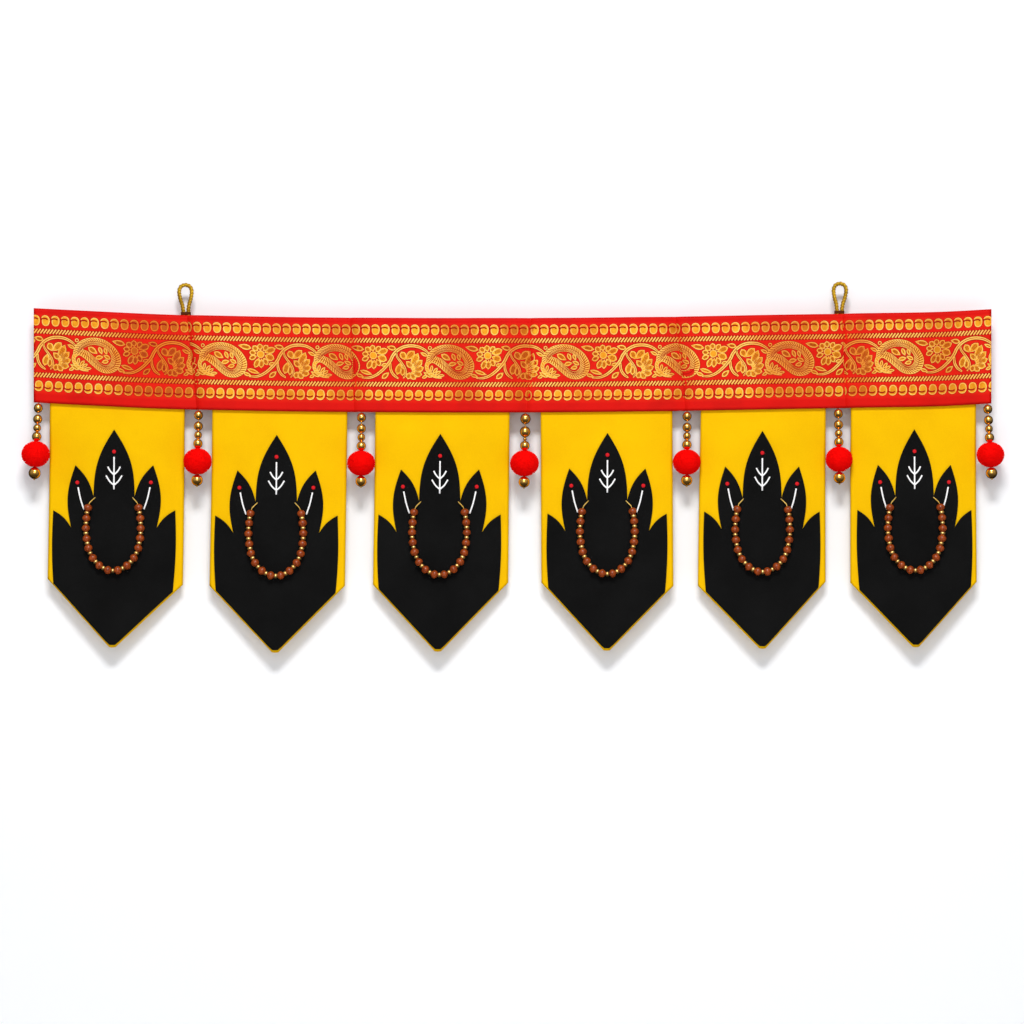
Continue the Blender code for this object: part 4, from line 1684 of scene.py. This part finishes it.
@dataclass
class Lotus:
    """The black cloth lotus on a pennant, with white veins and red knots sewn on its petals."""

    pennant: Pennant
    thickness: float = 0.0010
    inset: float = 0.0016
    nominal_width: float = 0.1285
    arc_steps: int = 14
    fill_step: float = 0.0045
    half: Sequence[tuple[float, float, float]] = (
        (0.0025, 0.0000, 0.0), (0.0565, 0.0522, 0.0015), (0.0580, 0.1290, 0.0020),
        (0.0405, 0.1120, 0.0055), (0.0370, 0.1720, 0.0030), (0.0195, 0.1420, 0.0060),
        (0.0000, 0.2060, 0.0),
    )

    def place(self, points: np.ndarray) -> np.ndarray:
        """Turns places on the lotus, across and up, to places on the pennant."""
        pennant = self.pennant
        top = self.half[-1][1]
        scale = (pennant.corner_right - pennant.corner_left) / self.nominal_width
        middle = (pennant.corner_left + pennant.corner_right) / 2
        lean = (pennant.tip - middle) / top
        points = np.asarray(points, float)
        across = middle + points[:, 0] * scale + lean * (top - points[:, 1])
        return np.stack([across, -pennant.tip_drop + self.inset + points[:, 1]], 1)

    def outline(self) -> np.ndarray:
        """Gives the lotus's outline on its pennant, across and height.

        Its two lower edges run a little inside the pennant's own.
        """
        half: list[np.ndarray] = []
        for (x, z, bulge), (next_x, next_z, _) in zip(self.half, self.half[1:]):
            start, end = np.array((x, z)), np.array((next_x, next_z))
            along = end - start
            outward = np.array((along[1], -along[0])) / np.linalg.norm(along)
            t = np.arange(self.arc_steps)[:, None] / self.arc_steps
            half.append(start + along * t + outward * bulge * np.sin(pi * t))
        right = np.vstack(half)
        left = right[::-1] * (-1, 1)
        placed = self.place(np.vstack([right, [self.half[-1][:2]], left]))
        pennant = self.pennant
        across, height = placed.T
        lowest = np.interp(
            across,
            [
                pennant.corner_left,
                pennant.tip - pennant.point_flat / 2,
                pennant.tip + pennant.point_flat / 2,
                pennant.corner_right,
            ],
            [-pennant.drop_left, -pennant.tip_drop, -pennant.tip_drop, -pennant.drop_right],
        )
        slanted = np.zeros(len(placed), bool)
        slanted[: self.arc_steps + 1] = slanted[-self.arc_steps - 1 :] = True
        height = np.where(slanted, lowest + self.inset * 1.3, np.maximum(height, lowest + 1e-3))
        return np.stack([across, height], 1)

    def face_depth(self, across: np.ndarray, height: np.ndarray) -> np.ndarray:
        """Gives the depth of the lotus's own face.

        Args:
            across: Places along X.
            height: Their heights.

        Returns:
            Their places along Y.
        """
        pennant = self.pennant
        return pennant.depth(across, height) - (
            pennant.thickness / 2 + pennant.gap + self.thickness
        )

    def cloth(self) -> bpy.types.Object:
        """Makes the black cloth from its outline and a grid of points within it."""
        outline = self.outline()
        low, high = outline.min(0), outline.max(0)
        xs = np.arange(low[0], high[0], self.fill_step)
        zs = np.arange(low[1], high[1], self.fill_step)
        grid = [(x, z) for x in xs for z in zs]
        n = len(outline)
        found = delaunay_2d_cdt(
            [Vector(p) for p in [*map(tuple, outline), *grid]],
            [],
            [list(range(n))],
            1,
            1e-6,
        )
        flat = np.array([v[:] for v in found[0]])
        triangles = [tuple(t) for t in found[2]]
        count: dict[tuple[int, int], int] = {}
        for a, b, c in triangles:
            for edge in ((a, b), (b, c), (c, a)):
                count[edge] = count.get(edge, 0) + 1
        rim = [edge for edge in count if (edge[1], edge[0]) not in count]
        face = np.stack([flat[:, 0], self.face_depth(flat[:, 0], flat[:, 1]), flat[:, 1]], 1)
        back = face + (0, self.thickness, 0)
        total = len(flat)
        faces: list[tuple[int, ...]] = list(triangles)
        faces += [(c + total, b + total, a + total) for a, b, c in triangles]
        faces += [(a, a + total, b + total, b) for a, b in rim]
        name = f"lotus_cloth_{self.pennant.number}"
        piece = mesh_object(name, np.vstack([face, back]), faces, BLACK_COTTON)
        tidy = bmesh.new()
        tidy.from_mesh(piece.data)
        loose = [v for v in tidy.verts if not v.link_faces]
        bmesh.ops.delete(tidy, geom=loose, context="VERTS")
        bmesh.ops.recalc_face_normals(tidy, faces=tidy.faces)
        tidy.to_mesh(piece.data)
        tidy.free()
        piece.data.set_sharp_from_angle(angle=radians(50))
        return piece

    def laid(self, points: np.ndarray, proud: float) -> np.ndarray:
        """Lays places on the lotus, across and up, on its face and gives x, y and z."""
        placed = self.place(points)
        depth = self.face_depth(placed[:, 0], placed[:, 1]) - proud
        return np.stack([placed[:, 0], depth, placed[:, 1]], 1)

    def flat_area(self) -> float:
        """Gives the area that the cloth was cut to."""
        x, z = self.outline().T
        return float(abs(np.dot(x, np.roll(z, 1)) - np.dot(z, np.roll(x, 1))) / 2)


@dataclass
class LotusNeedlework:
    """White cord veins on the three upper petals, each with a red knot at its tip, and the
    stitches that hold the black cloth down."""

    lotus: Lotus
    vein_radius: float = 0.75 * MM
    knot_radius: float = 1.9 * MM
    stitch_radius: float = 0.28 * MM
    stitch_pitch: float = 3.2 * MM
    stitch_inset: float = 1.1 * MM
    veins: Sequence[Outline] = (
        ((0.0, 0.1490), (0.0, 0.1640), (0.0, 0.1800)),
        ((0.0, 0.1530), (0.0042, 0.1568), (0.0076, 0.1622)),
        ((0.0, 0.1530), (-0.0042, 0.1568), (-0.0076, 0.1622)),
        ((0.0, 0.1630), (0.0034, 0.1662), (0.0060, 0.1706)),
        ((0.0, 0.1630), (-0.0034, 0.1662), (-0.0060, 0.1706)),
        ((0.0285, 0.1300), (0.0318, 0.1400), (0.0342, 0.1510)),
        ((-0.0285, 0.1300), (-0.0318, 0.1400), (-0.0342, 0.1510)),
    )
    knots: Outline = ((0.0, 0.1850), (0.0350, 0.1556), (-0.0350, 0.1556))

    def build(self, tree: PathTree) -> list[bpy.types.Object]:
        """Builds the veins, the knots and the stitches.

        Args:
            tree: The tree that sets pieces on a path.

        Returns:
            The three pieces.
        """
        number, radius = self.lotus.pennant.number, self.vein_radius
        veins = [
            tube(self.lotus.laid(evenly(smooth_line(vein, 5), 14), radius * 0.7), radius, 8)
            for vein in self.veins
        ]
        white = tubes_object(f"white_veins_{number}", veins, WHITE_THREAD)
        knot = ball("knot", self.knot_radius, 12, 8, (1.0, 0.5, 1.0), smooth=False)
        spots = self.lotus.laid(np.array(self.knots), self.knot_radius * 0.3)
        spots = spots[np.argsort(spots[:, 0])]
        red = tree.place(f"red_knots_{number}", knot, spots, RED_THREAD, Follow=False)
        return [white, red, self.stitches(tree)]

    def stitches(self, tree: PathTree) -> bpy.types.Object:
        """Makes the small stitches around the black cloth's edge."""
        lotus = self.lotus
        outline = lotus.outline()
        line = evenly(outline, round(route_length(outline) / self.stitch_pitch), closed=True)
        inward = (np.roll(line, -1, 0) - np.roll(line, 1, 0))[:, ::-1] * (-1, 1)
        inward /= np.linalg.norm(inward, axis=1, keepdims=True)
        line = line + inward * self.stitch_inset
        depth = lotus.face_depth(line[:, 0], line[:, 1]) - 0.05 * MM
        route = np.stack([line[:, 0], depth, line[:, 1]], 1)
        stitch = ball("stitch", self.stitch_radius, 5, 4, (1.0, 1.0, 3.2), smooth=False)
        name = f"edge_stitches_{lotus.pennant.number}"
        return tree.place(name, stitch, route, BLACK_THREAD, Follow=True)


@dataclass
class Swag:
    """Wooden beads with small gold ones between them, on a thread that is sewn to the lotus."""

    lotus: Lotus
    wood_radius: float = 3.95 * MM
    gold_radius: float = 2.6 * MM
    beads: int = 16
    top_up: float = 0.1311
    half: Outline = (
        (0.0228, 0.0048), (0.0244, -0.0010), (0.0257, -0.0110), (0.0261, -0.0220),
        (0.0250, -0.0315), (0.0228, -0.0410), (0.0178, -0.0500), (0.0096, -0.0572),
        (0.0000, -0.0598),
    )

    def route(self) -> np.ndarray:
        """Gives the line through the middle of the beads."""
        pennant = self.lotus.pennant
        middle = (pennant.corner_left + pennant.corner_right) / 2
        top = self.lotus.half[-1][1]
        lean = (pennant.tip - middle) / top
        middle += lean * (top - self.top_up)
        high = -pennant.tip_drop + self.lotus.inset + self.top_up
        sides = [(-x, z) for x, z in self.half] + list(self.half[-2::-1])
        flat = smooth_line(sides, 6) + (middle, high)
        depth = self.lotus.face_depth(flat[:, 0], flat[:, 1]) - pennant.gap - self.wood_radius
        return np.stack([flat[:, 0], depth, flat[:, 1]], 1)

    def build(self, tree: PathTree) -> list[bpy.types.Object]:
        """Builds the wooden beads, the gold ones and the thread.

        Args:
            tree: The tree that sets pieces on a path.

        Returns:
            The three pieces.
        """
        number = self.lotus.pennant.number
        random = np.random.default_rng(40 + number)
        route = self.route()
        pitch = route_length(route) / self.beads
        uneven = random.normal(0, 0.25 * MM, self.beads)
        at = (np.arange(self.beads) + 0.5) * pitch + uneven
        sizes = 1 + random.normal(0, 0.02, self.beads)
        wood = tree.place(
            f"wood_beads_{number}",
            ball("bead", self.wood_radius, 20, 12, (1.0, 1.0, 0.87)),
            walk(route, at),
            BEAD_WOOD,
            sizes,
            Turn=2 * pi,
            Follow=True,
            Seed=number,
        )
        small = ball("small", self.gold_radius, 14, 8, (1.0, 1.0, 0.8))
        spots = walk(route, (at[1:] + at[:-1]) / 2)
        sizes = 1 + random.normal(0, 0.04, len(spots))
        gold = tree.place(f"gold_beads_{number}", small, spots, SPACER_PLATING, sizes, Follow=True)
        return [wood, gold, self.thread(route)]

    def thread(self, route: np.ndarray) -> bpy.types.Object:
        """Makes the thread through the beads, with its ends going into the cloth."""
        parts = [tube(route[::2], 0.4 * MM, 6)]
        steps = ((1.6, 0.8, 0.9), (4.0, 2.4, 2.6), (5.6, 3.4, self.wood_radius / MM + 0.5))
        for end, beyond in ((route[0], route[1]), (route[-1], route[-2])):
            away = (end - beyond) / np.linalg.norm(end - beyond)
            side = -np.sign(end[0] - np.mean(route[:, 0]))
            points = [end]
            for out, inward, back in steps:
                points.append(end + away * out * MM + (side * inward * MM, back * MM, 0))
            parts.append(tube(smooth_line(points, 4), 0.55 * MM, 6))
        return tubes_object(f"swag_thread_{self.lotus.pennant.number}", parts, GOLD_THREAD)


@dataclass(frozen=True)
class StrandBead:
    """A bead on a drop: the bare thread above it, and its diameter."""

    space: float
    diameter: float


@dataclass
class Drop:
    """A strand of gold beads with a pompom and an end bead, on the heading's lower edge."""

    number: int
    width: float
    height: float
    end_bead: float
    strand: Sequence[StrandBead]
    gap: float = 0.0003
    tuft_spacing: float = 0.75 * MM
    tuft_length: float = 2.3 * MM
    tuft_radius: float = 0.42 * MM

    def centre(self, node: str) -> Vector:
        """Gives the middle of a node's box."""
        low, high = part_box(f"{node}_{self.number}")
        return (Vector(low) + Vector(high)) / 2

    def frame(self) -> tuple[Vector, Vector]:
        """Gives the point that the drop hangs from and the way that it hangs."""
        pompom = self.centre("pompom")
        down = (self.centre("end_bead") - pompom).normalized()
        length = self.gap + sum(b.space + b.diameter for b in self.strand)
        return pompom - down * (length + self.gap + self.height / 2), down

    def beads(self, tree: PathTree) -> bpy.types.Object:
        """Makes the gold beads of the strand."""
        start, down = self.frame()
        place = self.gap
        spots, sizes = [], []
        for bead in self.strand:
            place += bead.space + bead.diameter / 2
            spots.append(start + down * place)
            sizes.append(bead.diameter / 8.0 / MM)
            place += bead.diameter / 2
        # A bead of size 1 is 8 mm, and a little more here, so that its rim shows on the wall.
        round_bead = ball("ball", 4.25 * MM, 24, 14, (1.0, 1.0, 1.05))
        name = f"gold_strand_{self.number}"
        return tree.place(name, round_bead, np.array(spots), BEAD_PLATING, sizes, Follow=True)

    def end_bead_piece(self) -> bpy.types.Object:
        """Makes the larger bead below the pompom."""
        piece = ball(f"gold_end_bead_{self.number}", self.end_bead * 0.52, 28, 18)
        piece.data.transform(Matrix.Translation(self.centre("end_bead")))
        piece.data.materials.append(BEAD_PLATING.material())
        return piece

    def thread(self) -> bpy.types.Object:
        """Makes the thread that everything hangs on, from behind the heading's edge."""
        start, down = self.frame()
        end = self.centre("end_bead") + down * (self.end_bead / 2 + 0.9 * MM)
        route = np.array([start - down * 1.5 * MM, start, end])
        knot = np.array([end - down * 1.0 * MM, end, end + down * 0.2 * MM])
        parts = [tube(evenly(route, 8), 0.4 * MM, 8), tube(knot, 0.9 * MM, 8)]
        return tubes_object(f"drop_thread_{self.number}", parts, GOLD_THREAD)

    def tuft(self) -> bpy.types.Object:
        """Makes one tuft: a four-sided stub with a point on it."""
        spike = bmesh.new()
        bmesh.ops.create_cone(
            spike,
            segments=4,
            radius1=self.tuft_radius,
            radius2=self.tuft_radius * 0.75,
            depth=self.tuft_length * 0.7,
            cap_ends=False,
        )
        bmesh.ops.translate(spike, verts=spike.verts, vec=(0, 0, self.tuft_length * 0.2))
        top = [v for v in spike.verts if v.co.z > self.tuft_length * 0.4]
        tip = spike.verts.new((0, 0, self.tuft_length * 0.72))
        order = sorted(top, key=lambda v: atan2(v.co.y, v.co.x))
        for one, other in zip(order, order[1:] + order[:1]):
            spike.faces.new((one, other, tip))
        return object_of("tuft", mesh_of("tuft", spike, smooth=True))

    def pompom(self, tree: PileTree) -> bpy.types.Object:
        """Makes the pompom: a core with short tufts all over it."""
        core = bmesh.new()
        radius = self.width / 2 - self.tuft_length * 0.4
        bmesh.ops.create_icosphere(core, subdivisions=3, radius=radius)
        values = {
            "Tuft": self.tuft(),
            "Spacing": self.tuft_spacing,
            "Most": 3.0e6,
            "Lean": 0.30,
            "Shortest": 0.82,
            "Seed": 7 * self.number,
            "Finish": PILE_YARN.material(),
        }
        made = tree.run(f"pompom_pile_{self.number}", mesh_of("core", core, smooth=True), values)
        squeeze = Matrix.Diagonal((1.0, 1.0, self.height / self.width, 1.0))
        made.data.transform(Matrix.Translation(self.centre("pompom")) @ squeeze)
        return made

    def build(self, path_tree: PathTree, pile_tree: PileTree) -> None:
        """Builds the whole drop."""
        piece_done(self.beads(path_tree), Slot.GOLD, f"strand_{self.number}")
        piece_done(self.thread(), Slot.GOLD)
        piece_done(self.pompom(pile_tree), Slot.YARN, f"pompom_{self.number}")
        piece_done(self.end_bead_piece(), Slot.GOLD, f"end_bead_{self.number}")


@dataclass
class CordLoop:
    """A hanging loop of twisted gold cord, with a dark whipping where its two ends meet."""

    side: str
    across: float
    lean: float
    heading: HeadingShape
    radius: float = 2.05 * MM
    lay: float = 8.4 * MM
    half: Outline = (
        (0.00215, -0.0110), (0.00215, -0.0005), (0.00300, 0.0090), (0.00490, 0.0157),
        (0.00600, 0.0230), (0.00420, 0.0277), (0.00000, 0.0295),
    )

    def place(self, flat: np.ndarray, forward: float = 0.0) -> np.ndarray:
        """Turns places on the loop to places behind the heading.

        Args:
            flat: The places, across and up.
            forward: How far in front of the cord's middle they are.

        Returns:
            Their x, y and z.
        """
        low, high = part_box(f"loop_{self.side}")
        depth = (low[1] + high[1]) / 2 - forward
        turn = radians(self.lean)
        x, z = flat[:, 0], flat[:, 1]
        across = self.across + x * cos(turn) + z * sin(turn)
        height = float(self.heading.top(self.across)) + z * cos(turn) - x * sin(turn)
        return np.stack([across, depth + 0 * across, height], 1)

    def cord(self) -> bpy.types.Object:
        """Makes the cord."""
        half = smooth_line(self.half, 8)
        route = self.place(np.vstack([half * (-1, 1), half[-2::-1]]))
        route = evenly(route, 150)
        part = tube(route, self.radius, 24, lobes=3, lay=self.lay, depth=0.5)
        return tubes_object(f"cord_loop_{self.side}", [part], CORD_YARN)

    def whipping(self) -> bpy.types.Object:
        """Makes the thread that binds the two ends together above the heading."""
        turns, steps = 4, 20
        angle = np.arange(turns * steps + 1) * 2 * pi / steps
        rise = np.linspace(0.6 * MM, 3.2 * MM, len(angle))
        flat = np.stack([4.5 * MM * np.cos(angle), rise], 1)
        route = self.place(flat)
        route[:, 1] += 2.35 * MM * np.sin(angle)
        return tubes_object(f"loop_whipping_{self.side}", [tube(route, 0.42 * MM, 6)], BROWN_THREAD)

    def build(self) -> None:
        """Builds the loop and its whipping."""
        piece_done(self.cord(), Slot.CORD, f"loop_{self.side}")
        piece_done(self.whipping(), Slot.CORD)


@dataclass
class Studio:
    """The white wall behind the hanging, a pale floor, soft lights and the camera."""

    wall_gap: float = 0.006
    stage_half: float = 2.5
    stage_front: float = -3.5
    wall_top: float = 1.6
    floor_height: float = -0.95
    camera_lens: float = 100.0
    view_width: float = 0.977
    view_centre: Pair = (-0.0005, -0.185)
    aim: Sequence[float] = (0.0, 0.0, -0.15)
    room_strength: float = 0.62

    def camera(self) -> None:
        """Sets the camera straight in front, level, as far as the photograph's frame needs."""
        data = bpy.data.cameras.new("Camera")
        data.lens = self.camera_lens
        data.sensor_width = 36.0
        camera = object_of("Camera", data)
        distance = self.view_width * self.camera_lens / data.sensor_width
        camera.location = (self.view_centre[0], -distance, self.view_centre[1])
        camera.rotation_euler = (pi / 2, 0.0, 0.0)
        bpy.context.scene.camera = camera

    def backdrop(self) -> None:
        """Makes the wall, which shows from its front alone, and the floor."""
        side, front, low, top = self.stage_half, self.stage_front, self.floor_height, self.wall_top
        deep = CAD_BOX[1][1] + self.wall_gap
        wall = [(-side, deep, low), (side, deep, low), (side, deep, top), (-side, deep, top)]
        floor = [(-side, front, low), (side, front, low), (side, -front, low), (-side, -front, low)]
        for name, corners, finish in (("Wall", wall, WALL_PAINT), ("Floor", floor, FLOOR_PAINT)):
            mesh = bpy.data.meshes.new(name)
            mesh.from_pydata(corners, [], [(0, 1, 2, 3)])
            mesh.materials.append(finish.material())
            stage = object_of(name, mesh)
            stage.visible_glossy = False

    def light(self, name: str, place: Sequence[float], size: Pair, watts: float) -> None:
        """Adds a soft rectangular light that faces the middle of the hanging.

        Args:
            name: The light's name.
            place: Where it stands.
            size: Its width and height.
            watts: Its power.
        """
        data = bpy.data.lights.new(name, "AREA")
        data.shape = "RECTANGLE"
        data.size, data.size_y = size
        data.energy = watts
        lamp = object_of(name, data)
        lamp.location = place
        way = Vector(self.aim) - Vector(place)
        lamp.rotation_euler = way.to_track_quat("-Z", "Y").to_euler()

    def room(self) -> None:
        """Makes the room's own light: bright above and in front, dim below and behind."""
        world = bpy.data.worlds.new("Room")
        bpy.context.scene.world = world
        world.use_nodes = True
        tree = world.node_tree
        way = add_node(tree, "ShaderNodeTexCoord").outputs["Generated"]
        split = add_node(tree, "ShaderNodeSeparateXYZ", links={0: way}).outputs
        height = {"Value": split[2], "From Min": -0.6, "To Min": 0.12}
        nearness = {"Value": split[1], "From Min": 0.3, "From Max": -0.5, "To Min": 0.2}
        strength: Socket | float = self.room_strength
        for part in (height, nearness):
            share = add_node(tree, "ShaderNodeMapRange", links=part).outputs[0]
            both = {0: share, 1: strength}
            strength = add_node(tree, "ShaderNodeMath", {"operation": "MULTIPLY"}, both).outputs[0]
        feed(tree, tree.nodes["Background"], {"Color": linear("#F8F8F8"), "Strength": strength})

    def build(self) -> None:
        """Builds the stage, the lights and the camera."""
        self.camera()
        self.backdrop()
        self.light("Key", (0.0, -2.1, 1.9), (1.0, 0.5), 63.0)
        self.light("Fill", (0.0, -2.6, 0.3), (1.8, 1.0), 11.0)
        self.room()
        bpy.context.scene.view_settings.view_transform = "Standard"


def pennants(heading: HeadingShape) -> list[Pennant]:
    """Gives the six pennants, from left to right, as uneven as they hang."""
    cuts = (
        (-0.4417, -0.3130, -0.4446, -0.3156, 0.2489, 0.2546, -0.3821, 0.3140),
        (-0.2863, -0.1576, -0.2899, -0.1602, 0.2556, 0.2556, -0.2267, 0.3190),
        (-0.1309, -0.0026, -0.1336, -0.0041, 0.2546, 0.2527, -0.0713, 0.3180),
        (0.0267, 0.1528, 0.0276, 0.1538, 0.2527, 0.2556, 0.0899, 0.3171),
        (0.1800, 0.2992, 0.1773, 0.2997, 0.2556, 0.2517, 0.2386, 0.3152),
        (0.3230, 0.4427, 0.3232, 0.4437, 0.2527, 0.2517, 0.3850, 0.3137),
    )
    hangs = (
        (0.0034, 0.0030, 0.0016), (0.0030, 0.0014, -0.0012), (0.0036, 0.0034, 0.0010),
        (0.0030, 0.0020, -0.0018), (0.0034, 0.0036, 0.0012), (0.0030, 0.0016, -0.0014),
    )
    rows = enumerate(zip(cuts, hangs), start=1)
    return [Pennant(i, *cut, *hang, heading=heading) for i, (cut, hang) in rows]


def drops() -> list[Drop]:
    """Gives the seven drops, from left to right."""
    usual, middle = (
        [StrandBead(space * MM, diameter * MM) for space, diameter in beads]
        for beads in (
            ((0.9, 8.1), (2.4, 8.1), (1.0, 6.9), (0.6, 8.4)),
            ((1.2, 9.2), (3.0, 9.5), (0.6, 3.1), (0.6, 8.6)),
        )
    )
    sizes = (
        (26.6, 24.6, 11.0), (26.6, 24.8, 10.6), (26.4, 23.8, 10.2), (27.2, 24.6, 10.4),
        (26.4, 24.0, 10.4), (25.4, 23.8, 10.8), (25.8, 23.8, 10.6),
    )
    return [
        Drop(i, *(size * MM for size in row), middle if i == 4 else usual)
        for i, row in enumerate(sizes, start=1)
    ]


def main() -> None:
    """Builds the stage, then the hanging from its heading down."""
    logging.basicConfig(level=logging.INFO, format="%(name)s %(message)s")
    Studio().build()
    path_tree, pile_tree = PathTree(), PileTree()
    heading = Heading()
    for loop in (
        CordLoop("left", -0.3125, -1.0, heading.shape),
        CordLoop("right", 0.3125, 1.5, heading.shape),
    ):
        loop.build()
    heading.build(path_tree)
    for pennant in pennants(heading.shape):
        cloth = piece_done(pennant.cloth(), Slot.YELLOW, f"pennant_{pennant.number}")
        lotus = Lotus(pennant)
        black = piece_done(lotus.cloth(), Slot.BLACK, f"lotus_{pennant.number}")
        sewn = [
            piece_done(piece, Slot.BLACK) for piece in LotusNeedlework(lotus).build(path_tree)
        ]
        wood, gold, thread = Swag(lotus).build(path_tree)
        piece_done(wood, Slot.WOOD, f"garland_{pennant.number}")
        piece_done(gold, Slot.GOLD)
        piece_done(thread, Slot.GOLD)
        pennant.flat_area()
        lotus.flat_area()
    for drop in drops():
        drop.build(path_tree, pile_tree)


if __name__ == "__main__":
    main()
